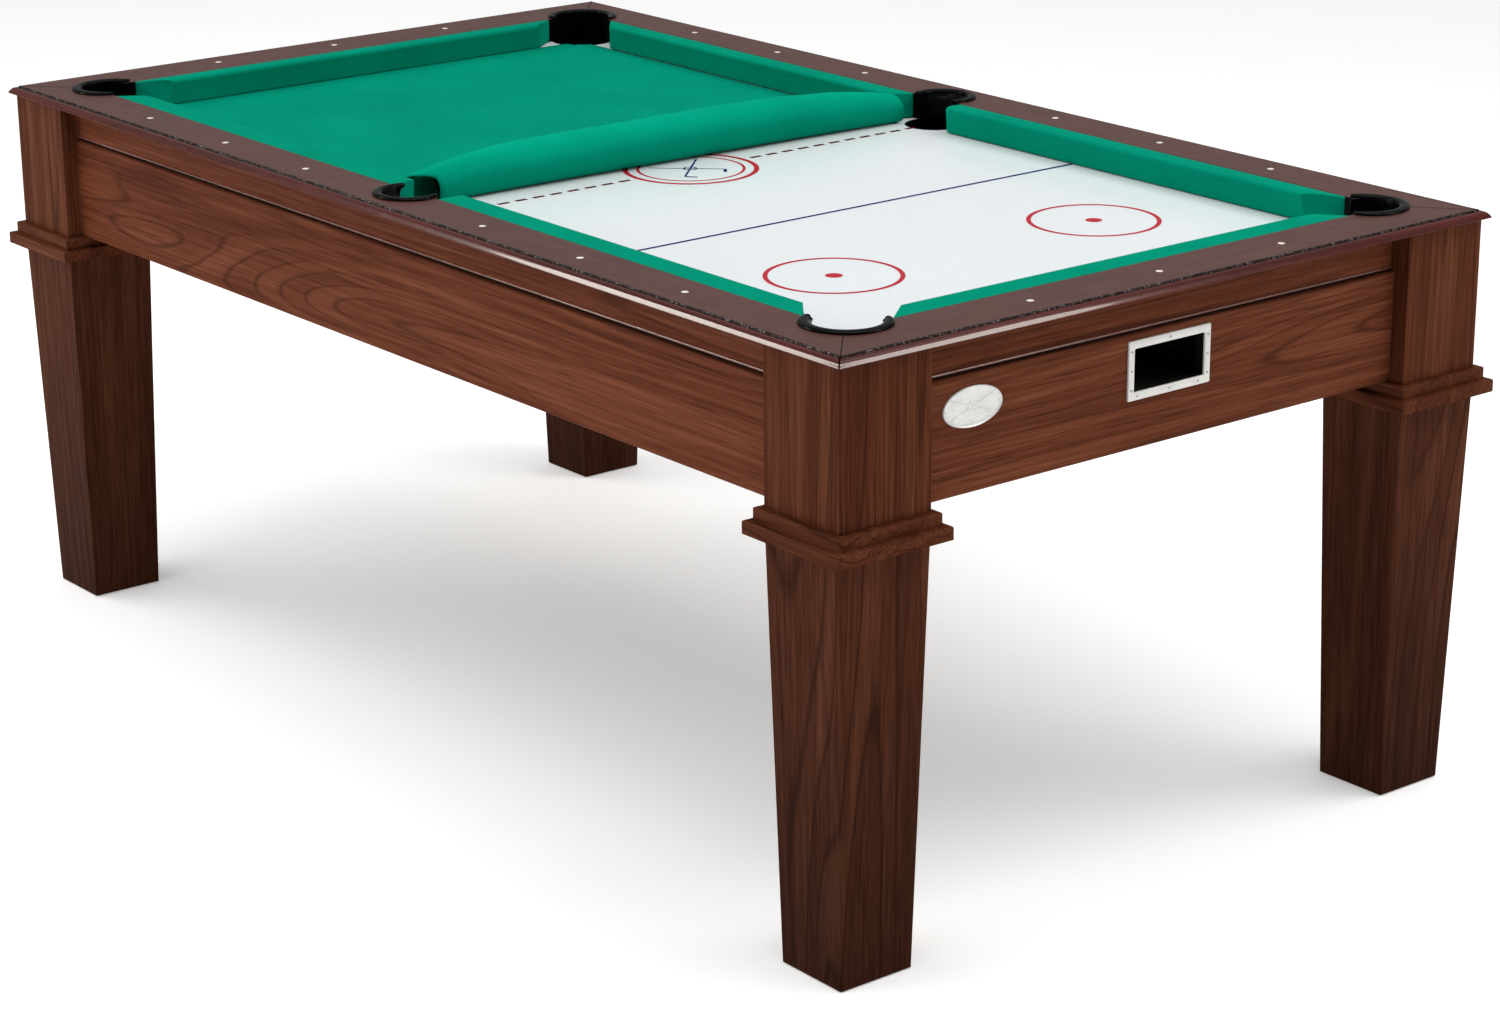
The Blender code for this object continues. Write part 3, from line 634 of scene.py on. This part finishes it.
# ---- pocket liners
def liner(name, node_name, face, ears, tube_at, lip_at, tube_r, lip_r, bore_lip, cut_tube, cut_lip):
    """Moulded pocket: a full tube below the bed, and above it a cup wall that opens towards the
    table and carries a broad rounded flange.  face is the unit vector away from the table;
    the cuts are how far along it, from each centre, the wall and flange are cut off."""
    face = Vector(face)
    across = Vector((-face.y, face.x))
    top = RAIL_TOP
    bore = tube_r - POCKET_WALL
    waist = RAIL_UNDER - 0.0012
    tube_at, lip_at = Vector(tube_at), Vector(lip_at)

    def arc(centre, radius, z, cut, taper=0.0):
        limit = math.acos(max(-1.0, min(1.0, cut / radius)))
        steps = 56
        points = []
        for i in range(steps + 1):
            share = 2 * i / steps - 1
            angle = limit * share
            slim = taper * smoothstep(0.70, 1.0, abs(share))
            r = radius - slim
            p = centre + face * (r * math.cos(angle)) + across * (r * math.sin(angle))
            points.append((p.x, p.y, z))
        return points

    horn = bore - bore_lip if cut_tube < 0 else 0.0
    mid_r = (lip_r + bore_lip) / 2
    half_w = (lip_r - bore_lip) / 2
    cut_wall = cut_lip if cut_tube < 0 else cut_lip + 0.006
    slim_end = 0.0035
    levels = [(tube_at, tube_r, BED_TOP + 0.0002, cut_tube, 0), (tube_at, tube_r, waist, cut_tube, 0),
              (lip_at, tube_r, top + 0.0003, cut_wall, 0),
              (lip_at, lip_r - 0.0006, top + 0.0003, cut_lip, slim_end)]
    for i in range(11):
        angle = math.radians(-10 + 190 * i / 10)
        r = mid_r + half_w * math.cos(angle)
        z = top + 0.0010 + 0.0036 * math.sin(angle) ** 0.8 if math.sin(angle) > 0 else top + 0.0008
        bend = math.cos(angle)
        levels.append((lip_at, r, z, cut_lip, bend * (slim_end if bend > 0 else horn)))
    levels += [(lip_at, bore_lip + 0.0002, top - 0.0015, cut_wall, 0),
               (lip_at.lerp(tube_at, 0.5), (bore_lip + bore) / 2, (top + waist) / 2,
                (cut_wall + cut_tube) / 2, 0),
               (tube_at, bore, waist, cut_tube, 0), (tube_at, bore, BED_TOP + 0.0002, cut_tube, 0)]
    bm = bmesh.new()
    rows = [[bm.verts.new(p) for p in arc(*level)] for level in levels]
    for low, high in zip(rows, rows[1:] + rows[:1]):
        for i in range(len(low) - 1):
            bm.faces.new((low[i], low[i + 1], high[i + 1], high[i]))
    bm.faces.new([row[0] for row in rows])
    bm.faces.new([row[-1] for row in rows][::-1])
    for side in (-1, 1):                    # short webs from the cup wall to the cushion ends
        root = Vector(rows[1][0 if side < 0 else -1].co.xy)
        end = min((Vector(ear) for ear in ears), key=lambda ear: (ear - root).length)
        away = (end - root).normalized()
        flat = Vector((-away.y, away.x)) * 0.0008
        rings = []
        for z in (BED_TOP + 0.0004, (BED_TOP + top) / 2, top - 0.0006):
            rings.append([(*(root + flat), z), (*(end + flat), z), (*(end - flat), z), (*(root - flat), z)])
        skin(bm, rings)
    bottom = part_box(node_name)[0].z
    collar = [(tube_r, BED_TOP - 0.0002), (tube_r, bottom + 0.001), (tube_r - 0.001, bottom),
              (bore + 0.001, bottom), (bore, bottom + 0.001), (bore, BED_TOP - 0.0002)]
    rings = [[(x, y, z) for x, y in circle(tube_at.x, tube_at.y, r, 64)] for r, z in collar]
    skin(bm, rings, closed_loft=True)
    piece = make_object(name, bm, LINER_PLASTIC, smooth=50)
    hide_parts(node_name)


def make_liners():
    """Four corner pockets that face the middle of the table, and two side pockets."""
    diagonal = math.sqrt(0.5)
    ear_x, ear_y = WOOD_X - 0.0015, WOOD_Y - 0.0015
    corner_mouth, side_mouth = 0.0385, 0.0560
    for name, (sx, sy) in CORNERS.items():
        at = (sx * CORNER_POCKET[0], sy * CORNER_POCKET[1])
        ears = [(sx * ear_x, sy * (NOSE_Y - corner_mouth)), (sx * (NOSE_X - corner_mouth), sy * ear_y)]
        liner(name + "_pocket_cup", name + "_pocket_liner", (sx * diagonal, sy * diagonal), ears,
              at, at, CORNER_TUBE_R, lip_r=0.0615, bore_lip=0.0460, cut_tube=-0.017, cut_lip=-0.017)
    for name, sy in (("left", -1), ("right", 1)):
        ears = [(sy * side_mouth, sy * ear_y), (-sy * side_mouth, sy * ear_y)]
        liner(name + "_side_pocket_cup", name + "_side_pocket_liner", (0, sy), ears,
              (0, sy * SIDE_POCKET_Y), (0, sy * 0.500), SIDE_TUBE_R,
              lip_r=0.0535, bore_lip=0.0395, cut_tube=0.006, cut_lip=-0.016)


GUIDE_SKIN = 0.0012
GUIDE_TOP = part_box("foot_left_pocket_liner")[0].z - 0.0003
TRACK_LANE = 0.0375            # half the outside width of a ball track
TRACK_DEEP = 0.0345            # from a guide's mouth down to the underside of the track
TRACK_Y = 0.470
TRACK_FOOT_X, TRACK_FOOT_TOP = 0.905, 0.7409
TRACK_HEAD_X, TRACK_HEAD_TOP = -0.9175, 0.7590
TRACK_MIDDLE_TOP = 0.7500


def drop_guide(name, cup_at, cup_r, track_at, low, end_stop=False):
    """Funnel from the round foot of a pocket down to the square mouth over its ball track.
    The head corners also get a plate that closes the high end of the track."""
    def ring(centre, reach, square, z):
        points = []
        for x, y in circle(0.0, 0.0, 1.0, 64):
            grow = reach / max(abs(x), abs(y)) if square else reach
            points.append((centre[0] + x * grow, centre[1] + y * grow, z))
        return points

    bm = bmesh.new()
    skin(bm, [ring(cup_at, cup_r, False, GUIDE_TOP), ring(track_at, TRACK_LANE, True, low),
              ring(track_at, TRACK_LANE - GUIDE_SKIN, True, low),
              ring(cup_at, cup_r - GUIDE_SKIN, False, GUIDE_TOP)], closed_loft=True)
    if end_stop:
        front = track_at[0] - TRACK_LANE - 0.0003
        back = front - GUIDE_SKIN
        y0, y1 = track_at[1] - TRACK_LANE, track_at[1] + TRACK_LANE
        skin(bm, [[(front, y0, z), (front, y1, z), (back, y1, z), (back, y0, z)]
                  for z in (low - TRACK_DEEP, low)])
    make_object(name, bm, TRACK_PLASTIC)


def make_drop_guides():
    """One guide under each pocket, a fifth of a millimetre slimmer than the pocket's tube."""
    slimmer = 0.0002
    for name, (sx, sy) in CORNERS.items():
        x, top = (TRACK_FOOT_X, TRACK_FOOT_TOP) if sx > 0 else (TRACK_HEAD_X, TRACK_HEAD_TOP)
        drop_guide(name + "_drop_guide", (sx * CORNER_POCKET[0], sy * CORNER_POCKET[1]),
                   CORNER_TUBE_R - slimmer, (x, sy * TRACK_Y), top, end_stop=sx < 0)
    for name, sy in (("left", -1), ("right", 1)):
        drop_guide(name + "_side_drop_guide", (0.0, sy * SIDE_POCKET_Y), SIDE_TUBE_R - slimmer,
                   (0.0, sy * TRACK_Y), TRACK_MIDDLE_TOP)


# ---- cloth mat
MAT_HALF = 0.4490
MAT_HEAD_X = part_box("cloth_mat")[0].x
MAT_THICK = 0.002
MAT_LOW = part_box("cloth_mat")[0].z + MAT_THICK / 2
ROLL_FRONT_X = -0.041          # where the roll ends, on the table's long axis
ROLL_SKEW = 0.020              # the roll lies about a degree askew
ROLL_LOW, ROLL_SWELL = 0.042, 0.024
ROLL_SAG = 0.6                 # below 1 the roll's lower front is squarer than an ellipse
ROLL_TURNS = 5


def roll_high(y):
    """Height of the roll's middle layer: fullest in the middle, squeezed at both pockets."""
    share = min(1.0, abs(y) / MAT_HALF)
    return ROLL_LOW + ROLL_SWELL * (1.0 - share ** 4) - MAT_THICK


def mat_section(y):
    """Points (x, z, winding) of the mat at y: from the head edge, up over the roll and round inside it."""
    high = roll_high(y)
    a = 0.6 * high
    b = high / 2
    cx = ROLL_FRONT_X + ROLL_SKEW * y - a - MAT_THICK / 2
    cz = MAT_LOW + b
    along = (y + MAT_HALF) / (2 * MAT_HALF)
    join = math.radians(122 + 46 * smoothstep(0.15, 0.75, along))
    reach = 0.105 - 0.083 * smoothstep(0.10, 0.70, along)
    jx, jz = cx + a * math.cos(join), cz + b * math.sin(join)
    fx = jx - reach
    points = []
    flat_steps = 78
    for i in range(flat_steps):
        points.append((MAT_HEAD_X + (fx - MAT_HEAD_X) * i / flat_steps, MAT_LOW, 0.0))
    tangent = Vector((a * math.sin(join), -b * math.cos(join))).normalized()
    p0, p3 = Vector((fx, MAT_LOW)), Vector((jx, jz))
    span = (p3 - p0).length
    p1, p2 = p0 + Vector((span * 0.42, 0)), p3 - tangent * span * 0.38
    for i in range(14):
        t = i / 14
        p = p0 * (1 - t) ** 3 + p1 * 3 * t * (1 - t) ** 2 + p2 * 3 * t * t * (1 - t) + p3 * t ** 3
        points.append((p.x, p.y, 0.0))
    outer_steps = 34
    for i in range(outer_steps):
        angle = join + (-math.pi / 2 - join) * i / outer_steps
        across, up = math.cos(angle), math.sin(angle)
        if angle < 0:
            across, up = max(0.0, across) ** ROLL_SAG, -abs(up) ** ROLL_SAG
        points.append((cx + a * across, cz + b * up, 0.0))
    size = b / 0.032
    per_turn = 36
    for i in range(ROLL_TURNS * per_turn + 1):
        turn = i / per_turn
        angle = -math.pi / 2 - 2 * math.pi * turn
        ka = a - 0.0036 * size * turn
        kb = b - 0.0045 * size * turn
        kz = MAT_LOW + 0.0023 * turn + kb
        points.append((cx - 0.0006 * turn + ka * math.cos(angle), kz + kb * math.sin(angle), turn))
    return points


def make_mat():
    """The playing mat: flat on the head half, rising over its own roll beside the middle pockets."""
    stations = 96
    rows = []
    bm = bmesh.new()
    for k in range(stations + 1):
        y0 = MAT_HALF * (2 * k / stations - 1)
        section = mat_section(y0)
        row = []
        for x, z, turn in section:
            y = y0
            near_end = smoothstep(-0.22, -MAT_HALF, y0)
            if turn > 0:                    # inner windings stop short of the outer layer
                y *= 1 - 0.055 * smoothstep(0.0, 0.8, turn)
                y += 0.085 * near_end * smoothstep(0.3, 1.0, turn)
            high = z - MAT_LOW
            front = ROLL_FRONT_X + ROLL_SKEW * y0
            if turn < 1:                    # the near end is pulled back from the pocket
                y += 0.034 * near_end * smoothstep(front - 0.034, front - 0.006, x)
            soft = smoothstep(0.0, 0.02, high) if turn == 0 else 0.0
            wobble = noise.noise(Vector((x * 9, y0 * 5, 0.0)))
            crease = noise.noise(Vector((x * 26 + y0 * 12, y0 * 4, 4.0)))
            dz = soft * (0.0022 * wobble + 0.0010 * crease)
            dx = soft * 0.0022 * noise.noise(Vector((7.0, y0 * 6, high * 30)))
            row.append(bm.verts.new((x + dx, y, max(MAT_LOW, z + dz) if turn == 0 else z)))
        rows.append(row)
    for low, high in zip(rows, rows[1:]):
        for i in range(len(low) - 1):
            bm.faces.new((low[i], low[i + 1], high[i + 1], high[i]))
    notch = 0.0545
    for sy in (-1, 1):                      # notches round the head corner pockets
        centre = Vector((-CORNER_POCKET[0], sy * CORNER_POCKET[1]))
        inside = {v for v in bm.verts if (v.co.xy - centre).length < notch and v.co.z < MAT_LOW + 0.001}
        rim = {v for v in inside if any(e.other_vert(v) not in inside for e in v.link_edges)}
        for v in rim:
            away = (v.co.xy - centre).normalized() * notch
            v.co.x, v.co.y = centre.x + away.x, centre.y + away.y
        bmesh.ops.delete(bm, geom=list(inside - rim), context="VERTS")
    mat = make_object("cloth_mat_sheet", bm, MAT_CLOTH, body=None, smooth=180)
    thick = mat.modifiers.new("thickness", "SOLIDIFY")
    thick.thickness = MAT_THICK
    thick.offset = 0.0
    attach(mat, "mat")
    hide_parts("cloth_mat")


# ---- rail sights and printed rink
def make_sights():
    """Eighteen small pearl dots set flush in the rails."""
    bm = bmesh.new()
    places = [(sx * k * SIGHT_SPACING, sy * SIGHT_Y) for sx in (-1, 1) for sy in (-1, 1) for k in (1, 2, 3)]
    places += [(sx * SIGHT_X, k * SIGHT_SPACING) for sx in (-1, 1) for k in (-1, 0, 1)]
    dome = [(0.0050, -0.0004), (0.0050, 0.0001), (0.0044, 0.00035), (0.0030, 0.0005), (0.0012, 0.00055)]
    for x, y in places:
        lathe(bm, x, y, [(r, RAIL_TOP + z) for r, z in dome], 20)
    make_object("rail_sights", bm, SIGHT_PEARL)


def flat_ring(bm, cx, cy, inner, outer, z, count=96):
    a = [bm.verts.new((x, y, z)) for x, y in circle(cx, cy, inner, count)]
    b = [bm.verts.new((x, y, z)) for x, y in circle(cx, cy, outer, count)]
    for i in range(count):
        j = (i + 1) % count
        bm.faces.new((a[i], b[i], b[j], a[j]))


def flat_disc(bm, cx, cy, radius, z, count=40):
    bm.faces.new([bm.verts.new((x, y, z)) for x, y in circle(cx, cy, radius, count)])


def flat_strip(bm, start, end, wide, z):
    a, b = Vector(start), Vector(end)
    side = (b - a).normalized().orthogonal() * wide / 2
    corners = (a + side, a - side, b - side, b + side)
    bm.faces.new([bm.verts.new((p.x, p.y, z)) for p in corners])


def make_print():
    """The rink printed on the bed: circles, dashed centre line, two navy lines and a centre device."""
    z = BED_TOP + 0.0002
    red = bmesh.new()
    flat_ring(red, 0, 0, 0.0945, 0.1025, z)
    flat_ring(red, 0, 0, 0.0775, 0.0820, z)
    for sx, sy in ((-1, -1), (-1, 1), (1, -1), (1, 1)):
        x, y = sx * 0.62, sy * 0.238
        flat_ring(red, x, y, 0.0885, 0.0952, z)
        flat_disc(red, x, y, 0.0120, z)
    make_object("printed_red_circles", red, PRINT_RED)
    dashes = bmesh.new()
    pitch, half_dash = 0.031, 0.0100
    for k in range(-14, 15):
        y = k * pitch
        if 0.108 < abs(y) < 0.46:
            flat_strip(dashes, (0, y - half_dash), (0, y + half_dash), 0.0078, z)
    make_object("printed_centre_line", dashes, PRINT_MAROON)
    navy = bmesh.new()
    for sx in (-1, 1):
        flat_strip(navy, (sx * 0.345, -0.455), (sx * 0.345, 0.455), 0.0066, z)
    for side in (-1, 1):                    # plain crossed sticks and a puck in the centre circle
        flat_strip(navy, (-0.045, side * 0.045), (0.035, -side * 0.038), 0.0032, z)
        flat_strip(navy, (0.035, -side * 0.038), (0.050, -side * 0.026), 0.0050, z + 0.00002)
    flat_ring(navy, -0.002, 0.0, 0.0085, 0.0110, z + 0.00004, 32)
    make_object("printed_navy_lines", navy, PRINT_NAVY)


# ---- window frame and badge
def rounded_box(half_w, half_h, radius, count=5):
    points = []
    for qx, qy, start in ((1, 1, 0), (-1, 1, 90), (-1, -1, 180), (1, -1, 270)):
        for i in range(count + 1):
            angle = math.radians(start + 90 * i / count)
            points.append((qx * (half_w - radius) + radius * math.cos(angle),
                           qy * (half_h - radius) + radius * math.sin(angle)))
    return points


def make_window():
    """Raised metal frame round the ball window, its screws, and the black lining behind it."""
    low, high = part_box("ball_window_frame")
    x0, x1 = low.x, high.x
    cy, cz = (low.y + high.y) / 2, (low.z + high.z) / 2
    half_w, half_h = (high.y - low.y) / 2, (high.z - low.z) / 2
    hole_w, hole_h = 0.0635, 0.029
    levels = [(half_w, half_h, 0.0016, x0), (half_w, half_h, 0.0016, x1 - 0.0009),
              (half_w - 0.0003, half_h - 0.0003, 0.0014, x1 - 0.0003),
              (half_w - 0.0010, half_h - 0.0010, 0.0010, x1),
              (hole_w + 0.0010, hole_h + 0.0010, 0.0022, x1),
              (hole_w + 0.0003, hole_h + 0.0003, 0.0018, x1 - 0.0004),
              (hole_w, hole_h, 0.0016, x1 - 0.0010), (hole_w, hole_h, 0.0016, x0)]
    bm = bmesh.new()
    rings = [[(x, cy + u, cz + v) for u, v in rounded_box(w, h, r)] for w, h, r, x in levels]
    skin(bm, rings, closed_loft=True)
    plate = make_object("window_plate", bm, FRAME_METAL, smooth=35)
    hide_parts("ball_window_frame")
    sleeve = bmesh.new()                    # black lining of the opening through the apron
    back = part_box("ball_box")[1].x + 0.0006
    skin(sleeve, [[(x, cy + u, cz + v) for u, v in rounded_box(hole_w + grow, hole_h + grow, 0.0012)]
                  for grow, x in ((0.0004, back), (0.0016, back), (0.0016, x0 - 0.0002),
                                  (0.0004, x0 - 0.0002))],
         closed_loft=True)
    for side in (-1, 1):                    # sills that close the gap between box and ball tracks
        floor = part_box("ball_box")[0].z + 0.0204
        y0, y1 = side * 0.0905, side * 0.1060
        skin(sleeve, [[(x, y0, floor), (x, y1, floor), (x, y1, floor + 0.0008), (x, y0, floor + 0.0008)]
                      for x in (0.866, 0.944)])
    make_object("window_sleeve", sleeve, TRACK_PLASTIC)
    screws = bmesh.new()
    slim_w = (half_w + hole_w) / 2
    slim_h = (half_h + hole_h) / 2
    spots = [(-slim_w, 0.0), (slim_w, 0.0), (slim_w, 0.026), (slim_w, -0.026), (-slim_w, 0.026),
             (-slim_w, -0.026), (0.0, slim_h), (0.0, -slim_h), (-0.058, -slim_h), (0.052, -slim_h)]
    for u, v in spots:
        profile = [(0.0017, 0.0), (0.0017, 0.0003), (0.0013, 0.0007), (0.0006, 0.0008), (0.0005, 0.0003)]
        rings = [[(x1 + h, cy + u + a, cz + v + b) for a, b in circle(0, 0, r, 14)] for r, h in profile]
        skin(screws, rings)
    make_object("window_screws", screws, SCREW_METAL)


def make_badge():
    """Cast oval plate: raised rim, stippled field, and a plain ball over two crossed cues."""
    low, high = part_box("oval_badge")
    x0 = low.x
    cy, cz = (low.y + high.y) / 2, (low.z + high.z) / 2
    half_w, half_h = (high.y - low.y) / 2, (high.z - low.z) / 2
    levels = [(1.0, 0.0), (1.0, 0.0012), (0.985, 0.0020), (0.965, 0.0024), (0.945, 0.0022), (0.925, 0.0015),
              (0.90, 0.0011), (0.70, 0.0012), (0.45, 0.0013), (0.2, 0.0013)]
    bm = bmesh.new()

    def oval(share, out, count=72):
        trim = (1 - share) * half_h
        return [(x0 + out, cy + (half_w - trim) * a, cz + (half_h - trim) * b)
                for a, b in circle(0, 0, 1, count)]

    def boss(u, profile, count):
        """A small turned shape on the plate, u along from its middle: profile is (radius, out)."""
        skin(bm, [[(x0 + out, cy + u + a, cz + b) for a, b in circle(0, 0, r, count)] for r, out in profile])

    skin(bm, [oval(share, out) for share, out in levels])
    for side in (-1, 1):                    # cues, thick at the butt
        butt, tip = Vector((-side * 0.034, -0.0125)), Vector((side * 0.034, 0.0125))
        normal = (tip - butt).normalized().orthogonal()
        rings = []
        for end, wide in ((butt, 0.0022), (tip, 0.0010)):
            outline = [(-1, 0.0010), (-0.6, 0.0020), (0, 0.0023), (0.6, 0.0020), (1, 0.0010)]
            rings.append([(x0 + out, cy + end.x + normal.x * wide * n, cz + end.y + normal.y * wide * n)
                          for n, out in outline])
        skin(bm, rings)
    boss(0.0, [(0.0088, 0.0010), (0.0086, 0.0018), (0.0074, 0.0023), (0.0050, 0.0024), (0.0040, 0.0019),
               (0.0036, 0.0019), (0.0030, 0.0024), (0.0010, 0.0024)], 36)
    for side in (-1, 1):                    # pins at both ends
        boss(side * (half_w - 0.0052), [(0.0014, 0.0010), (0.0014, 0.0018), (0.0008, 0.0022)], 12)
    plate = make_object("badge_plate", bm, BADGE_METAL, smooth=45)
    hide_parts("oval_badge")


# ---- levellers
def make_levellers():
    """Round rubber pads and the threaded studs that carry them."""
    for name in CORNERS:
        low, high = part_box(name + "_leveller_pad")
        cx, cy = (low.x + high.x) / 2, (low.y + high.y) / 2
        r = (high.x - low.x) / 2
        z = high.z
        bm = bmesh.new()
        lathe(bm, cx, cy, [(r - 0.0030, 0.0), (r - 0.0012, 0.0001), (r - 0.0003, 0.0006), (r, 0.0016),
                           (r, z - 0.0022), (r - 0.0006, z - 0.0010), (r - 0.0020, z - 0.0003),
                           (0.0090, z), (0.0082, z - 0.0006), (0.0060, z - 0.0006)], 48)
        pad = make_object(name + "_foot_pad", bm, PAD_RUBBER, name + "_pad")
        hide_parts(name + "_leveller_pad")
        low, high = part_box(name + "_leveller_stud")
        r = (high.x - low.x) / 2
        pitch = 0.0015
        profile = [(r - 0.0012, low.z), (r - 0.0007, low.z + 0.0004)]
        z = low.z + 0.0010
        while z < high.z - 0.0022:
            profile += [(r - 0.0007, z), (r - 0.0001, z + pitch * 0.35), (r - 0.0001, z + pitch * 0.5)]
            z += pitch
        profile += [(r - 0.0007, high.z - 0.0008), (r - 0.0014, high.z)]
        bm = bmesh.new()
        lathe(bm, cx, cy, profile, 24)
        stud = make_object(name + "_threaded_stud", bm, STUD_METAL, name + "_stud", 25)
        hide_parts(name + "_leveller_stud")


# ---- studio
def make_camera():
    data = bpy.data.cameras.new("camera")
    data.sensor_width = 36.0
    data.lens = 86.94
    data.clip_end = 60.0
    camera = link(bpy.data.objects.new("camera", data))
    turn = Matrix.Rotation(math.radians(51.6017), 4, "Z")
    tilt = Matrix.Rotation(math.radians(90 - 18.3747), 4, "X")
    roll = Matrix.Rotation(math.radians(-0.4265), 4, "Z")
    camera.matrix_world = Matrix.Translation((4.21019, -3.22878, 2.02858)) @ turn @ tilt @ roll
    bpy.context.scene.camera = camera


def softbox(name, at, aim, wide, high, power, colour=(1, 1, 1), up=(0, 0, 1), seen_in="both"):
    """A rectangular light; seen_in keeps one out of the gloss or out of the diffuse light."""
    data = bpy.data.lights.new(name, "AREA")
    data.shape = "RECTANGLE"
    data.size = wide
    data.size_y = high
    data.energy = power
    data.color = colour
    light = link(bpy.data.objects.new(name, data))
    back = (Vector(at) - Vector(aim)).normalized()
    upright = (Vector(up) - back * back.dot(Vector(up))).normalized()
    across = upright.cross(back)
    light.matrix_world = Matrix.Translation(at) @ Matrix((across, upright, back)).transposed().to_4x4()
    light.visible_glossy = seen_in != "diffuse"
    light.visible_diffuse = seen_in != "gloss"


def make_studio():
    """Pale floor, white surroundings and soft lights."""
    floor = bmesh.new()
    rings = [[(x, y, -0.0005) for x, y in circle(0, 0, r, 64)] for r in (14.0, 6.0, 2.5, 1.0)]
    rows = skin(floor, rings, capped=False)
    floor.faces.new(rows[-1])
    paper, tree, shader = shader_material("studio_floor", Specular_IOR_Level=0.1, Emission_Strength=0.27,
                                          Emission_Color=(1, 1, 1, 1))
    grain = noise_tex(tree, place(tree), 3.0, 3.0, 0.5)
    plug(tree, shader, Base_Color=ramp(tree, grain, [(0.2, (0.90, 0.90, 0.90)), (0.8, (0.92, 0.92, 0.92))]),
         Roughness=remap(tree, grain, 0.0, 1.0, 0.8, 0.9))
    stage = make_object("studio_floor", floor, paper, body=None)

    world = bpy.data.worlds.new("studio")
    world.use_nodes = True
    bpy.context.scene.world = world
    tree = world.node_tree
    ground = tree.nodes["Background"]
    ground.inputs["Color"].default_value = (1, 1, 1, 1)
    ground.inputs["Strength"].default_value = 0.30
    seen = node(tree, "Background", {"Color": (1, 1, 1, 1), "Strength": 1.0})
    path = node(tree, "LightPath")
    either = node(tree, "MixShader", {0: path.outputs["Is Camera Ray"], 1: ground.outputs[0],
                                                2: seen.outputs[0]})
    tree.links.new(either.outputs[0], tree.nodes["World Output"].inputs["Surface"])

    warm = (1.0, 0.95, 0.90)
    softbox("ceiling_softbox", (1.0, 0.2, 4.6), (0.6, 0, 0.8), 4.8, 4.2, 74)
    softbox("head_strip", (-4.0, -2.6, 4.1), (0, -0.5, 0.8), 3.2, 1.7, 92, warm, seen_in="diffuse")
    softbox("far_strip", (2.5, 2.8, 4.2), (0.9, 0, 0.8), 2.4, 1.2, 70, warm, seen_in="diffuse")
    softbox("left_side_softbox", (-1.2, -4.2, 2.4), (0, 0, 0.6), 3.4, 2.4, 66, seen_in="diffuse")
    softbox("foot_side_softbox", (4.6, 1.6, 2.2), (1, 0, 0.6), 2.6, 2.2, 30)
    softbox("side_bead_glint", (-4.0, -3.57, 3.35), (0, -3.57, 3.35), 3.0, 1.35, 205, (1.0, 0.94, 0.86),
            (0, -0.766, 0.643), "gloss")
    softbox("foot_bead_glint", (3.77, 2.8, 3.41), (3.77, 0, 3.41), 2.9, 1.1, 150, (1.0, 0.92, 0.86),
            (0.727, 0, 0.687), "gloss")
    sun = bpy.data.lights.new("even_top_light", "SUN")
    sun.energy = 0.9
    sun.angle = math.radians(70)
    link(bpy.data.objects.new("even_top_light", sun)).location = (0, 0, 6)
    scene = bpy.context.scene
    scene.view_settings.view_transform = "Standard"
    scene.view_settings.look = "None"


def main():
    make_camera()
    dress_cad()
    make_beads()
    make_fascia_lips()
    make_groove_splines()
    make_mitre_seams()
    make_cushions()
    make_liners()
    make_drop_guides()
    make_mat()
    make_sights()
    make_print()
    make_window()
    make_badge()
    make_levellers()
    make_studio()


main()
